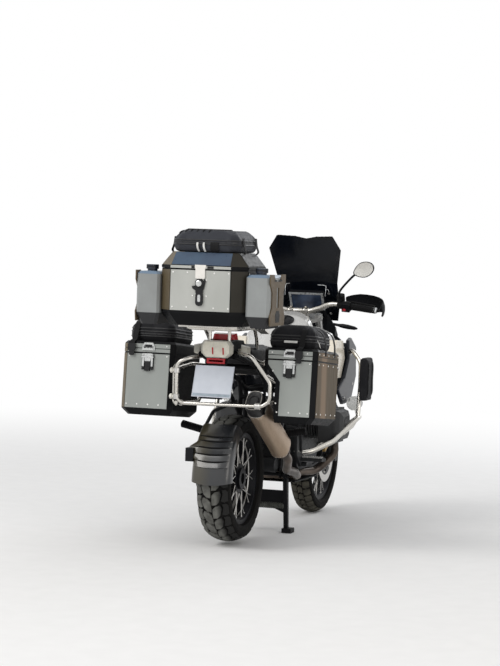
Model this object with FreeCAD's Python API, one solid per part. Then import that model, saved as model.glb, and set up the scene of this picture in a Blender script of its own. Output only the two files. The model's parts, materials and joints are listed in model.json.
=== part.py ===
"""Adventure touring motorcycle on its centre stand, with three metal cases, two canisters and soft bags.

Frame: +X is forward, +Y is the rider's left and +Z is up. The floor is z = 0, and the origin lies on it
under the middle of the machine's outline. Lengths are millimetres and angles degrees.
The flat-twin engine's heads stand out on both sides, a single-sided swingarm carries the rear wheel on
the left, and the fork steers on a ball joint on the front arm and on a stem in the frame's head.
"""
import FreeCAD
import Part
import math
import os
from FreeCAD import Placement, Rotation, Vector

doc = FreeCAD.newDocument("adventure_motorcycle")
sheet = doc.addObject("Spreadsheet::Sheet", "sizes")

# Driving dimensions: alias, value, meaning
SIZES = [
    ("rear_axle_x", -620, "rear axle, measured from the origin"),
    ("wheelbase", 1505, "axle to axle"),
    ("rear_lift", 15, "rear tyre's height over the floor on the centre stand"),
    ("rear_tyre_r", 318, "rear tyre radius"),
    ("rear_tyre_w", 170, "rear tyre width"),
    ("rear_seat_r", 216, "bead seat radius of the rear rim"),
    ("rear_rim_w", 114, "rear rim width between its flanges"),
    ("front_tyre_r", 325, "front tyre radius"),
    ("front_tyre_w", 120, "front tyre width"),
    ("front_seat_r", 241, "bead seat radius of the front rim"),
    ("front_rim_w", 76, "front rim width between its flanges"),
    ("flange_rise", 13, "height of a rim's flange over the bead seat"),
    ("flange_wall", 6, "thickness of a rim's flange"),
    ("rim_wall", 8, "rim thickness at the bead seat"),
    ("tyre_wall", 13, "tyre wall thickness"),
    ("spoke_r", 2.4, "spoke radius"),
    ("rake", 24.5, "steering axis from the vertical"),
    ("trail", 95, "steering axis ahead of the front contact, on the floor"),
    ("fork_offset", 98, "fork leg from the middle plane"),
    ("slider_r", 26, "radius of the lower fork leg"),
    ("stanchion_r", 18.5, "radius of the upper fork tube"),
    ("stem_r", 15, "radius of the steering stem"),
    ("front_axle_r", 14, "radius of the front axle"),
    ("front_bore_r", 10, "bore in each end of the front axle"),
    ("front_hub_half", 67, "front hub's half width over its brake discs"),
    ("drive_bore_r", 25, "bore of the hollow rear drive"),
    ("drive_stub_r", 34, "stub that carries the rear wheel"),
    ("disc_wall", 5, "thickness of a brake disc"),
    ("front_disc_r", 152, "front brake disc radius"),
    ("rear_disc_r", 138, "rear brake disc radius"),
    ("running_gap", 0.1, "radial clearance of a turning fit"),
    ("moving_gap", 6, "clearance between pieces that move past each other"),
    ("frame_tube_r", 15, "radius of the main frame's tubes"),
    ("guard_tube_r", 14, "radius of the engine guard's tube"),
    ("rack_tube_r", 9, "radius of the luggage carrier's tube"),
    ("bar_r", 14, "handlebar radius"),
    ("grip_r", 17, "grip radius"),
    ("stand_pivot_x", 520, "centre stand pivot, ahead of the rear axle"),
    ("stand_pivot_z", 310, "centre stand pivot over the floor"),
    ("stand_foot_x", 562, "centre stand foot, ahead of the rear axle"),
    ("stand_half_w", 130, "centre stand leg from the middle plane"),
    ("stand_pin_r", 11, "centre stand pivot pin radius"),
    ("case_wall", 3, "wall of a metal case"),
    ("case_step", 64, "how far the right side case stands back from the silencer"),
    ("pannier_rear_x", -283, "rear face of the side cases, from the rear axle"),
    ("pannier_length", 410, "length of a side case"),
    ("pannier_outer_y", 500, "outer face of a side case from the middle plane"),
    ("pannier_width", 268, "width of a side case"),
    ("pannier_low_z", 648, "underside of a side case, before it is tipped"),
    ("pannier_body_h", 308, "height of a side case's body"),
    ("pannier_lid_h", 58, "height of a side case's lid"),
    ("pannier_tip", 5, "how far the side cases tip down at the front"),
    ("lid_gap", 1, "seam between a case and its lid"),
    ("hinge_out", 8.5, "a lid's hinge pin, out from its case's front wall"),
    ("hinge_pin_r", 3.5, "hinge pin radius"),
    ("top_rear_x", -570, "rear face of the top case, from the rear axle"),
    ("top_length", 400, "length of the top case"),
    ("top_width", 436, "width of the top case"),
    ("top_low_z", 1112, "underside of the top case"),
    ("top_body_h", 272, "height of the top case's body"),
    ("top_lid_h", 80, "height of the top case's lid"),
    ("top_corner", 66, "cut of the top case's upright corners"),
    ("can_length", 245, "length of a canister"),
    ("can_width", 118, "width of a canister"),
    ("can_height", 255, "height of a canister's body"),
    ("plate_w", 200, "number plate width"),
    ("plate_h", 160, "number plate height"),
    ("plate_tip", 20, "number plate's lean from the upright"),
]
for row, (alias, value, meaning) in enumerate(SIZES, start=1):
    sheet.set(f"A{row}", alias)
    sheet.set(f"B{row}", str(value))
    sheet.set(f"C{row}", meaning)
    sheet.setAlias(f"B{row}", alias)
doc.recompute()


def size(alias):
    """A driving dimension, read from the sheet."""
    return float(sheet.get(alias))


# Stations that many pieces share
REAR_X = size("rear_axle_x")
REAR_Z = size("rear_tyre_r") + size("rear_lift")
FRONT_X = REAR_X + size("wheelbase")
FRONT_Z = size("front_tyre_r")
RAKE = math.radians(size("rake"))
UP_AXIS = Vector(-math.sin(RAKE), 0, math.cos(RAKE))
FORE_AXIS = Vector(math.cos(RAKE), 0, math.sin(RAKE))
AXIS_FOOT = Vector(FRONT_X + size("trail"), 0, 0)
LEG_FORE = (Vector(FRONT_X, 0, FRONT_Z) - AXIS_FOOT).dot(FORE_AXIS)
AXLE_UP = (Vector(FRONT_X, 0, FRONT_Z) - AXIS_FOOT).dot(UP_AXIS)
SIDES = (1, -1)
Y_AXIS = Vector(0, 1, 0)


def rear(x, y, z):
    """A point measured forward from the rear axle."""
    return Vector(REAR_X + x, y, z)


def front(x, y, z):
    """A point measured forward from the front axle."""
    return Vector(FRONT_X + x, y, z)


def steer(up, fore, y):
    """A point by its distance up the steering axis, ahead of it and to the left."""
    return AXIS_FOOT + UP_AXIS * up + FORE_AXIS * fore + Vector(0, y, 0)


def cylinder(start, end, radius):
    along = end - start
    return Part.makeCylinder(radius, along.Length, start, along)


def cone(start, end, start_radius, end_radius):
    along = end - start
    return Part.makeCone(start_radius, end_radius, along.Length, start, along)


def disc(centre_x, centre_z, y_from, y_to, radius):
    return cylinder(Vector(centre_x, y_from, centre_z), Vector(centre_x, y_to, centre_z), radius)


def box(low, high):
    span = high - low
    return Part.makeBox(span.x, span.y, span.z, low)


def fused(shapes):
    """One shape of many, with its flush faces merged where that keeps it sound."""
    shapes = list(shapes)
    if len(shapes) == 1:
        return shapes[0]
    joined = shapes[0].multiFuse(shapes[1:])
    merged = joined.removeSplitter()
    return merged if merged.isValid() else joined


def path(points, bend):
    """Straight runs joined by tangent arcs of radius bend, or as large as the runs allow."""
    edges, last = [], points[0]
    for before, corner, after in zip(points, points[1:], points[2:]):
        into, out = corner - before, after - corner
        turn = into.getAngle(out)
        if turn < 1e-3:
            continue
        room = 0.45 * min(into.Length, out.Length)
        reach = min(bend * math.tan(turn / 2), room)
        into.normalize()
        out.normalize()
        arc_from, arc_to = corner - into * reach, corner + out * reach
        radius = reach / math.tan(turn / 2)
        inward = (out - into).normalize()
        middle = corner + inward * (radius / math.cos(turn / 2) - radius)
        edges.append(Part.makeLine(last, arc_from))
        edges.append(Part.Arc(arc_from, middle, arc_to).toShape())
        last = arc_to
    edges.append(Part.makeLine(last, points[-1]))
    return Part.Wire(edges)


def tube(points, radius, bend=60):
    """A round bar along a path of runs and arcs."""
    spine = path(points, bend)
    ring = Part.Wire(Part.Circle(points[0], points[1] - points[0], radius).toShape())
    return spine.makePipeShell([ring], True, False)


def mirrored(shape):
    """The same piece on the other side of the middle plane."""
    return shape.mirror(Vector(0, 0, 0), Y_AXIS)


def both_sides(shape):
    return Part.makeCompound([shape, mirrored(shape)])


def polygon(points):
    return Part.makePolygon(list(points) + [points[0]])


def side_plate(outline, y_from, y_to, point=rear):
    """An outline in the side view, from one distance off the middle plane to another."""
    face = Part.Face(polygon([point(x, y_from, z) for x, z in outline]))
    return face.extrude(Vector(0, y_to - y_from, 0))


def loft(sections):
    """A ruled body through closed polygons of as many corners each."""
    return Part.makeLoft([polygon(points) for points in sections], True, True)


def turned(profile, centre):
    """A profile of (y, radius) corners turned about a wheel's axle."""
    face = Part.Face(polygon([centre + Vector(0, y, r) for y, r in profile]))
    return face.revolve(centre, Y_AXIS, 360)


def two_sided(half_profile):
    """A profile's left half, from the outside in, closed by its mirror image."""
    return half_profile + [(-y, r) for y, r in reversed(half_profile)]


def feature(label, shape):
    """A sub-part of its own, which names its file."""
    piece = doc.addObject("Part::Feature", label)
    piece.Shape = shape
    piece.Label = label
    nodes[label] = piece
    return piece


nodes = {}


# Wheels
def tyre(label, centre, radius, width, seat_r, rim_w):
    """A tyre with an arched tread, open inside towards its rim."""
    wall, rise = size("tyre_wall"), size("flange_rise")
    foot, half = rim_w / 2, width / 2
    belly = seat_r + 0.5 * (radius - seat_r)
    shoulder = seat_r + 0.74 * (radius - seat_r)

    def at(y, r):
        return centre + Vector(0, y, r)

    def arc(a, b, c):
        return Part.Arc(at(*a), at(*b), at(*c)).toShape()

    def line(a, b):
        return Part.makeLine(at(*a), at(*b))

    lip = seat_r + rise + 1.5
    inner_crown, inner_belly = radius - wall, half - wall
    outer_side = ((foot + 3, lip + 2), (half, belly), (half - 4, shoulder))
    inner_side = ((foot - wall, lip + 6), (inner_belly, belly), (inner_belly - 6, shoulder))
    edges = []
    for side in SIDES:
        def m(point):
            return (side * point[0], point[1])
        edges += [
            line(m((foot - 0.2, seat_r)), m((foot - 0.2, lip))),
            line(m((foot - 0.2, lip)), m(outer_side[0])),
            arc(*[m(point) for point in outer_side]),
            arc(*[m(point) for point in inner_side]),
            line(m(inner_side[0]), m((foot - wall, seat_r))),
            line(m((foot - wall, seat_r)), m((foot - 0.2, seat_r))),
        ]
    edges.append(arc(outer_side[2], (0, radius), (-outer_side[2][0], outer_side[2][1])))
    edges.append(arc(inner_side[2], (0, inner_crown), (-inner_side[2][0], inner_side[2][1])))
    profile = Part.Face(Part.Wire(Part.__sortEdges__(edges)))
    feature(label, profile.revolve(centre, Y_AXIS, 360))


def rim_ring(centre, seat_r, rim_w):
    """A drop-centre rim with upright flanges."""
    half, wall = rim_w / 2, size("rim_wall")
    lip = half + size("flange_wall")
    top = seat_r + size("flange_rise")
    outside = [(lip, seat_r - wall), (lip, top), (half + 0.1, top), (half + 0.1, seat_r - 0.3)]
    well = [(half - 22, seat_r - 0.3), (half - 30, seat_r - 14)]
    inside = [(half - 30, seat_r - 14 - wall), (half - 20, seat_r - wall)]
    left = outside + well
    right = [(-y, r) for y, r in reversed(left)]
    under = [(-y, r) for y, r in reversed(inside)]
    return turned(left + right + list(reversed(under)) + inside, centre)


def spokes(centre, hub_r, hub_y, rim_r, rim_y, count):
    """Crossed wires: each leaves one hub flange and meets the rim on that side, turned to and fro."""
    wires = []
    lead = math.radians(24)
    for side, flange_y, edge_y in ((1, hub_y[0], rim_y), (-1, hub_y[1], -rim_y)):
        for index in range(count):
            pair = 2 * math.pi * (index // 2 + (0.25 if side > 0 else 0.0)) / (count / 2)
            sweep = lead if index % 2 else -lead
            hub_at, rim_at = pair, pair + sweep
            start = centre + Vector(hub_r * math.sin(hub_at), flange_y, hub_r * math.cos(hub_at))
            end = centre + Vector(rim_r * math.sin(rim_at), edge_y, rim_r * math.cos(rim_at))
            wires.append(cylinder(start, end, size("spoke_r")))
    return wires


def brake_disc(centre, y_from, y_to, radius, inner_radius):
    ring = disc(centre.x, centre.z, y_from, y_to, radius)
    return ring.cut(disc(centre.x, centre.z, y_from, y_to, inner_radius))


def rear_wheel():
    centre = Vector(REAR_X, 0, REAR_Z)
    seat_r, rim_w = size("rear_seat_r"), size("rear_rim_w")
    tyre("rear_tyre", centre, size("rear_tyre_r"), size("rear_tyre_w"), seat_r, rim_w)
    stub_r = size("drive_stub_r") + size("running_gap")
    hub_right, hub_left, flange_r, flange_wall = -62, 38, 74, 6
    hub = disc(centre.x, centre.z, hub_right, hub_left, 54)
    flanges = [disc(centre.x, centre.z, y, y + flange_wall, flange_r) for y in (-48, 22)]
    disc_y = 70
    carrier = disc(centre.x, centre.z, hub_left, disc_y, 60)
    brake = disc(centre.x, centre.z, disc_y, disc_y + size("disc_wall"), size("rear_disc_r"))
    bore = disc(centre.x, centre.z, hub_right - 1, 1, size("drive_bore_r") + 3)
    stub_bore = disc(centre.x, centre.z, 0, disc_y + 10, stub_r)
    hub = hub.multiFuse(flanges + [carrier, brake]).cut(bore).cut(stub_bore)
    wires = spokes(centre, flange_r - 6, (25, -45), seat_r - 4, rim_w / 2 - 10, 20)
    ring = rim_ring(centre, seat_r, rim_w)
    feature("rear_rim", fused([ring, hub] + wires))


def front_wheel():
    centre = Vector(FRONT_X, 0, FRONT_Z)
    seat_r, rim_w = size("front_seat_r"), size("front_rim_w")
    tyre("front_tyre", centre, size("front_tyre_r"), size("front_tyre_w"), seat_r, rim_w)
    wall = size("disc_wall")
    disc_y = size("front_hub_half") - wall
    hub = disc(centre.x, centre.z, -disc_y, disc_y, 34)
    flanges = [disc(centre.x, centre.z, y, y + 6, 56) for y in (-40, 34)]
    plates = [disc(centre.x, centre.z, y, y + wall, size("front_disc_r")) for y in (disc_y, -disc_y - wall)]
    plates = [plate.cut(disc(centre.x, centre.z, -90, 90, 100)) for plate in plates]
    carriers = [disc(centre.x, centre.z, y, y + wall, 106) for y in (disc_y, -disc_y - wall)]
    windows = []
    for index in range(6):
        angle = math.radians(60 * index)
        windows.append(disc(centre.x + 76 * math.sin(angle), centre.z + 76 * math.cos(angle), -90, 90, 20))
    bore = disc(centre.x, centre.z, -90, 90, size("front_axle_r") + size("running_gap"))
    hub = hub.multiFuse(flanges).multiFuse([fused([c] + [p]).cut(windows) for c, p in zip(carriers, plates)])
    wires = spokes(centre, 50, (37, -37), seat_r - 4, rim_w / 2 - 8, 20)
    ring = rim_ring(centre, seat_r, rim_w)
    feature("front_rim", fused([ring, hub] + wires).cut(bore))


# Rear suspension, engine and frame
def swingarm():
    """Single arm on the left: drive housing, tapering arm and the pivot tube behind the gearbox."""
    face_y, outer_y = 92, 168
    housing = disc(REAR_X, REAR_Z, face_y, outer_y - 14, 90)
    nose = cone(Vector(REAR_X, outer_y - 14, REAR_Z), Vector(REAR_X, outer_y, REAR_Z), 90, 62)
    stub = disc(REAR_X, REAR_Z, 2, face_y, size("drive_stub_r"))
    stations = [(30, 100, 154, 280, 376), (250, 100, 160, 300, 390), (400, 90, 160, 322, 402)]
    arm = loft([
        [rear(x, y0, z0), rear(x, y1, z0 + 12), rear(x, y1, z1 - 12), rear(x, y0, z1)]
        for x, y0, y1, z0, z1 in stations
    ])
    bridge = loft([
        [rear(x, y0, 326), rear(x, 160, 326), rear(x, 160, 398), rear(x, y0, 398)]
        for x, y0 in ((370, 100), (440, -84))
    ])
    pivot = disc(REAR_X + 450, 362, -96, 166, 38)
    bore = disc(REAR_X, REAR_Z, 0, outer_y + 1, size("drive_bore_r"))
    feature("swingarm", fused([housing, nose, stub, arm, bridge, pivot]).cut(bore))


def rear_shock():
    """Damper and coil spring between the arm and the frame."""
    low, high = rear(436, 10, 396), rear(452, 10, 690)
    along = (high - low).normalize()
    body = cylinder(low, high, 17)
    eyes = [cylinder(end - Y_AXIS * 18, end + Y_AXIS * 18, 16) for end in (low + along * 12, high)]
    rings = []
    for turn in range(9):
        start = low + along * (54 + 22 * turn)
        rings.append(cylinder(start, start + along * 11, 39))
    seats = [cylinder(low + along * s, low + along * (s + 8), 40) for s in (46, 242)]
    webs = [cylinder(low + along * 50, low + along * 246, 31)]
    feature("rear_shock", fused([body] + eyes + rings + seats + webs).cut(nodes["swingarm"].Shape))


def engine():
    """Crankcase and gearbox as one block, narrow at the back for the stand and the arm."""
    crankcase = side_plate([(655, 345), (700, 320), (985, 320), (1050, 400), (1052, 560),
                            (985, 655), (700, 655), (655, 600)], -148, 148)
    gearbox = side_plate([(490, 400), (520, 345), (655, 345), (655, 600), (560, 600), (490, 520)], -98, 98)
    cover = cylinder(rear(1050, 0, 470), rear(1066, 0, 470), 82)
    feature("engine_block", fused([crankcase, gearbox, cover]))


# Flat-twin cylinders: side, how far ahead of the rear axle
CYLINDER_SIDES = ((1, 868), (-1, 838))
CYLINDER_Z = 556
HEAD_OUT_Y = 362


def cylinders():
    """Two finned barrels with their heads and rounded covers."""
    pieces = []
    for side, x in CYLINDER_SIDES:
        def at(dx, y, dz):
            return rear(x + dx, side * y, CYLINDER_Z + dz)
        barrel = cylinder(at(0, 148, 0), at(0, 238, 0), 66)
        fins = [cylinder(at(0, y, 0), at(0, y + 4, 0), 84) for y in (162, 176, 190, 204, 218)]
        head = loft([
            [at(-92, y, -h), at(92, y, -h), at(100, y, 0), at(92, y, h), at(-92, y, h), at(-100, y, 0)]
            for y, h in ((232, 88), (322, 92))
        ])
        cover = loft([
            [at(-w, y, -h), at(w, y, -h), at(w + 8, y, 0), at(w, y, h), at(-w, y, h), at(-w - 8, y, 0)]
            for y, w, h in ((322, 88, 82), (348, 82, 74), (HEAD_OUT_Y, 62, 50))
        ])
        intake = loft([
            [at(-w, y0, dz), at(w, y0, dz), at(w, y1, dz), at(-w, y1, dz)]
            for dz, w, y0, y1 in ((84, 52, 236, 304), (132, 40, 232, 280), (172, 34, 214, 262))
        ])
        pieces.append(fused([barrel] + fins + [head, cover, intake]))
    feature("cylinders", Part.makeCompound(pieces))


HEAD_LOW, HEAD_HIGH = 1088, 1172


def frame():
    """Tubular frame from the steering head over the engine, and the bolted tail frame."""
    r = size("frame_tube_r")
    head = cylinder(steer(HEAD_LOW, 0, 0), steer(HEAD_HIGH, 0, 0), 27)
    main, tail_frame = [head], []
    for side in SIDES:
        neck = steer(HEAD_LOW + 24, -6, side * 12)
        rail = [neck, rear(1010, side * 92, 900), rear(930, side * 118, 742), rear(560, side * 118, 742)]
        main += [tube(rail, r, 70),
                 tube([rear(990, side * 98, 860), rear(1000, side * 118, 640)], r),
                 tube([rear(560, side * 117, 736), rear(549, side * 112, 562)], r * 0.9),
                 cylinder(rear(548, side * 96, 560), rear(548, side * 128, 560), 22)]
        upper = [rear(545, side * 118, 745), rear(430, side * 118, 800), rear(60, side * 112, 890),
                 rear(-256, side * 92, 964)]
        stay = [rear(530, side * 112, 566), rear(420, side * 112, 640), rear(30, side * 111, 894)]
        tail_frame += [tube(upper, r * 0.9, 60), tube(stay, r * 0.75, 60)]
    main += [cylinder(rear(x, -118, 742), rear(x, 118, 742), r * 0.85) for x in (930, 566)]
    for x, z, y, radius in ((452, 708, 112, 12), (60, 890, 112, r * 0.75), (-236, 960, 92, r * 0.75)):
        tail_frame.append(cylinder(rear(x, -y, z), rear(x, y, z), radius))
    for side in SIDES:
        tail_frame.append(tube([rear(452, side * 108, 706), rear(444, side * 116, 792)], 12))
        tail_frame.append(tube([rear(452, side * 108, 706), rear(438, side * 112, 630)], 12))
    stem_hole = cylinder(steer(HEAD_LOW - 5, 0, 0), steer(HEAD_HIGH + 5, 0, 0),
                         size("stem_r") + size("running_gap"))
    feature("frame", fused(main).cut([nodes["engine_block"].Shape, stem_hole]))
    cutters = shapes_of("frame", "engine_block", "rear_shock")
    feature("tail_frame", biggest(fused(tail_frame).cut(cutters)))
    pin_half = size("stand_half_w") + 22
    pin = cylinder(rear(size("stand_pivot_x"), -pin_half, size("stand_pivot_z")),
                   rear(size("stand_pivot_x"), pin_half, size("stand_pivot_z")), size("stand_pin_r"))
    hangers = []
    for side in SIDES:
        hangers.append(loft([
            [rear(500, y, 440), rear(560, y, 440), rear(544, y, 292), rear(498, y, 292)]
            for y in (side * 98, side * 108)
        ]))
    feature("stand_hanger", fused([pin] + hangers).cut(nodes["engine_block"].Shape))


def front_arm():
    """Wishbone from the engine to the ball joint under the fork bridge, with its damper."""
    tip = steer(BRIDGE_UP - 34, 0, 0)
    arms = []
    for side in SIDES:
        pivot = rear(1020, side * 150, 480)
        arms.append(tube([pivot, rear(1075, side * 140, 530),
                          tip - UP_AXIS * 14 - FORE_AXIS * 28 + Y_AXIS * (side * 14)],
                         20, 80))
        arms.append(cylinder(rear(1020, side * 149, 480), rear(1020, side * 178, 480), 24))
    boss = cylinder(tip - UP_AXIS * 24, tip + UP_AXIS * 12, 28)
    stud = cylinder(tip, tip + UP_AXIS * 44, 11)
    damper_low, damper_high = rear(1132, 0, 640), steer(HEAD_LOW - 60, -34, 0)
    cross = cylinder(rear(1132, -100, 606), rear(1132, 100, 606), 13)
    arm = fused(arms + [boss, stud, cross]).cut(nodes["engine_block"].Shape)
    along = (damper_high - damper_low).normalize()
    shaft = cylinder(damper_low - along * 22, damper_high, 15)
    springs = [cylinder(damper_low + along * (24 + 22 * i), damper_low + along * (35 + 22 * i), 36)
               for i in range(9)]
    core = cylinder(damper_low + along * 20, damper_low + along * 216, 29)
    feature("front_arm", arm)
    feature("front_shock", fused([shaft, core] + springs).cut([arm, nodes["frame"].Shape]))


# Fork and everything that steers
BRIDGE_UP = 858
CROWN_UP = 1198


def fork():
    """Lower legs, the bridge over the tyre, the axle with its bored ends and the brake calipers."""
    r, y = size("slider_r"), size("fork_offset")
    wheel_axle = cylinder(Vector(FRONT_X, -y, FRONT_Z), Vector(FRONT_X, y, FRONT_Z), size("front_axle_r"))
    pieces = [wheel_axle]
    for side in SIDES:
        foot, top = steer(AXLE_UP, LEG_FORE, side * y), steer(BRIDGE_UP + 60, LEG_FORE, side * y)
        pieces.append(cylinder(foot, top, r))
        pieces.append(cylinder(Vector(FRONT_X, side * (y - 23), FRONT_Z),
                               Vector(FRONT_X, side * (y + 30), FRONT_Z), 31))
        reach = size("front_disc_r")
        caliper = loft([
            [steer(AXLE_UP + up, fore, side * yy) for up, fore in
             ((96, LEG_FORE - reach * 0.86), (96, LEG_FORE - 18), (176, LEG_FORE - 18),
              (176, LEG_FORE - reach * 0.50), (140, LEG_FORE - reach * 0.80))]
            for yy in (44, 108)
        ])
        slot = brake_disc(Vector(FRONT_X, 0, FRONT_Z), side * 55.5, side * 73.5, reach + 7, 30)
        pieces.append(caliper.cut(slot))
    bridge = loft([
        [steer(BRIDGE_UP + dz, fore, yy) for fore, yy in
         ((-26, -60), (-26, 60), (LEG_FORE - 10, y + 14), (LEG_FORE + 22, y + 6),
          (LEG_FORE + 22, -y - 6), (LEG_FORE - 10, -y - 14))]
        for dz in (-14, 16)
    ])
    bore = cylinder(steer(BRIDGE_UP - 40, 0, 0), steer(BRIDGE_UP + 40, 0, 0), 11 + size("running_gap"))
    solid_half = size("front_hub_half") + 3
    hollows = [disc(FRONT_X, FRONT_Z, side * solid_half, side * (y + 40),
                    size("front_bore_r")) for side in SIDES]
    shape = fused(pieces + [bridge]).cut([bore] + hollows)
    tubes = [cylinder(steer(BRIDGE_UP + 60, LEG_FORE, side * y), steer(CROWN_UP + 22, LEG_FORE, side * y),
                      size("stanchion_r")) for side in SIDES]
    crown = loft([
        [steer(CROWN_UP + dz, fore, yy) for fore, yy in
         ((-28, -40), (-28, 40), (LEG_FORE - 14, y + 24), (LEG_FORE + 24, y + 18),
          (LEG_FORE + 24, -y - 18), (LEG_FORE - 14, -y - 24))]
        for dz in (-10, 14)
    ])
    stem = cylinder(steer(HEAD_LOW + 10, 0, 0), steer(CROWN_UP, 0, 0), size("stem_r"))
    feature("fork", shape)
    feature("fork_crown", fused(tubes + [crown, stem]))


BAR_MID = (CROWN_UP + 62, 4)
# Handlebar route on the left: up the steering axis, ahead of it, distance from the middle plane
BAR_ROUTE = [(0, 0, 0), (0, 0, 62), (24, -8, 130), (62, -28, 222), (46, -52, 448)]


def handlebar():
    up0, fore0 = BAR_MID
    left = [steer(up0 + up, fore0 + fore, y) for up, fore, y in BAR_ROUTE[1:]]
    right = [Vector(p.x, -p.y, p.z) for p in reversed(left)]
    bar = tube(right + left, size("bar_r") * 0.86, 70)
    risers = []
    for side in SIDES:
        low = steer(CROWN_UP + 14, fore0 - 2, side * 42)
        high = steer(up0 + 20, fore0 - 2, side * 42)
        block = cylinder(low, high, 19)
        risers.append(block)
    feature("handlebar", fused([bar] + risers).cut(nodes["fork_crown"].Shape))


def grip_axis(side):
    up0, fore0 = BAR_MID
    inner, outer = [steer(up0 + up, fore0 + fore, side * y) for up, fore, y in BAR_ROUTE[-2:]]
    return inner, outer, (outer - inner).normalize()


def bar_controls():
    """Grips, switch boxes, levers and fluid pots, one group on each side."""
    bar = nodes["handlebar"].Shape
    groups = []
    for side in SIDES:
        inner, outer, along = grip_axis(side)
        grip = cylinder(inner + along * 92, outer + along * 6, size("grip_r"))
        switches = cylinder(inner + along * 46, inner + along * 92, 25)
        clamp = cylinder(inner + along * 18, inner + along * 46, 21)
        pot = cylinder(inner + along * 30 + UP_AXIS * 14 + FORE_AXIS * 26,
                       inner + along * 30 + UP_AXIS * 48 + FORE_AXIS * 26, 22)
        lever = tube([inner + along * 32 + FORE_AXIS * 18, inner + along * 70 + FORE_AXIS * 54,
                      inner + along * 222 + FORE_AXIS * 48], 6.5, 30)
        groups.append(fused([grip, switches, clamp, pot, lever]).cut(bar))
    feature("bar_controls", Part.makeCompound(groups))


def hand_guards():
    """Deep plastic shields that wrap the front of each grip, on a bar from the grip's end."""
    shields = []
    for side in SIDES:
        inner, outer, along = grip_axis(side)

        def at(s, fore, up):
            return inner + along * s + FORE_AXIS * fore + UP_AXIS * up

        shell = loft([
            [at(s, fore, low), at(s, fore, high), at(s, fore + 8, high), at(s, fore + 8, low)]
            for s, fore, low, high in ((44, 84, -30, 12), (120, 106, -66, 30), (200, 108, -70, 32),
                                       (262, 88, -38, 22))
        ])
        cheek = loft([
            [at(s, fore, 30), at(s, fore + 12, 30), at(s, fore + 12, -40), at(s, fore, -40)]
            for s, fore in ((256, 84), (268, 6))
        ])
        stay = tube([outer + along * 6, at(252, 0, 0), at(252, 40, 0), at(250, 90, 0)], 7, 18)
        shields.append(fused([shell, cheek, stay]).cut(nodes["bar_controls"].Shape))
    feature("hand_guards", Part.makeCompound(shields))


MIRROR_C = (-536, 392, 1385)


def mirrors():
    """Oval mirrors on bent stalks."""
    pieces = []
    for side in SIDES:
        inner, outer, along = grip_axis(side)
        x, y, z = MIRROR_C
        centre = front(x, side * y, z)
        root = inner + along * 32 - FORE_AXIS * 2 + UP_AXIS * 20.4
        stalk = tube([root, root + UP_AXIS * 46 + Vector(0, side * 6, 0),
                      centre + Vector(8, -side * 62, -28), centre + Vector(10, -side * 30, -10)], 6, 40)
        ovals = []
        for depth, share in ((-6, 0.96), (6, 1.0), (22, 0.55)):
            turns = [math.radians(24 * step) for step in range(15)]
            oval = [Vector(depth, 62 * share * math.cos(t), 42 * share * math.sin(t)) for t in turns]
            ovals.append([centre + Rotation(Vector(1, 0, 0), -side * 14).multVec(point) for point in oval])
        pieces.append(fused([stalk, loft(ovals)]))
    feature("mirrors", Part.makeCompound(pieces).cut(nodes["bar_controls"].Shape))


def front_mudguard():
    """Curved guard close over the front tyre, held on the fork legs."""
    centre = Vector(FRONT_X, 0, FRONT_Z)
    inner = size("front_tyre_r") + 14
    half = size("front_tyre_w") / 2 + size("moving_gap")
    wall = 4
    profile = [(-half - wall, inner - 40), (-half - wall, inner - 4), (-half + 12, inner + wall + 6),
               (half - 12, inner + wall + 6), (half + wall, inner - 4), (half + wall, inner - 40),
               (half, inner - 40), (half, inner - 8), (half - 14, inner + 4), (-half + 14, inner + 4),
               (-half, inner - 8), (-half, inner - 40)]
    face = Part.Face(polygon([centre + Vector(0, y, r) for y, r in profile]))
    face.rotate(centre, Y_AXIS, -78)
    guard = face.revolve(centre, Y_AXIS, 112)
    held_at = AXLE_UP + inner - 24
    lugs = [cylinder(steer(held_at, LEG_FORE, side * (half + 1)),
                     steer(held_at, LEG_FORE, side * (half + 14)), 9)
            for side in SIDES]
    feature("front_mudguard", fused([guard] + lugs).cut(nodes["fork"].Shape))


# Tank, seat and bodywork
def fuel_tank():
    """Broad tank, hollowed underneath over the frame."""
    sections = []
    for x, low, high, base, belly, top in ((642, 782, 902, 92, 118, 88), (760, 776, 985, 122, 196, 118),
                                           (900, 776, 1062, 142, 262, 150), (1010, 806, 1068, 120, 258, 142),
                                           (1070, 900, 1052, 84, 176, 110)):
        middle = low + 0.52 * (high - low)
        sections.append([rear(x, -base, low), rear(x, base, low), rear(x, belly, middle),
                         rear(x, belly * 0.86, high - 34), rear(x, top, high), rear(x, -top, high),
                         rear(x, -belly * 0.86, high - 34), rear(x, -belly, middle)])
    tunnel = box(rear(600, -140, 700), rear(1000, 140, 790))
    neck = box(rear(940, -112, 700), rear(1100, 112, 925))
    feature("fuel_tank", loft(sections).cut([tunnel, neck, nodes["frame"].Shape, nodes["tail_frame"].Shape]))


def tank_panels():
    """Pale side panels that lie on the tank's flanks."""
    panels = []
    for side in SIDES:
        panel = loft([
            [rear(800, side * y, 800), rear(980, side * y, 800), rear(1050, side * y, 900),
             rear(1000, side * y, 1000), rear(880, side * y, 1006), rear(800, side * y, 930)]
            for y in (190, 284)
        ])
        panels.append(panel.cut(nodes["fuel_tank"].Shape))
    feature("tank_panels", Part.makeCompound([biggest(panel) for panel in panels]))


def shapes_of(*names):
    """The finished shapes of other pieces, which a new piece is cut to clear."""
    return [nodes[name].Shape for name in names]


def biggest(shape):
    return max(shape.Solids, key=lambda solid: solid.Volume)


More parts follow.
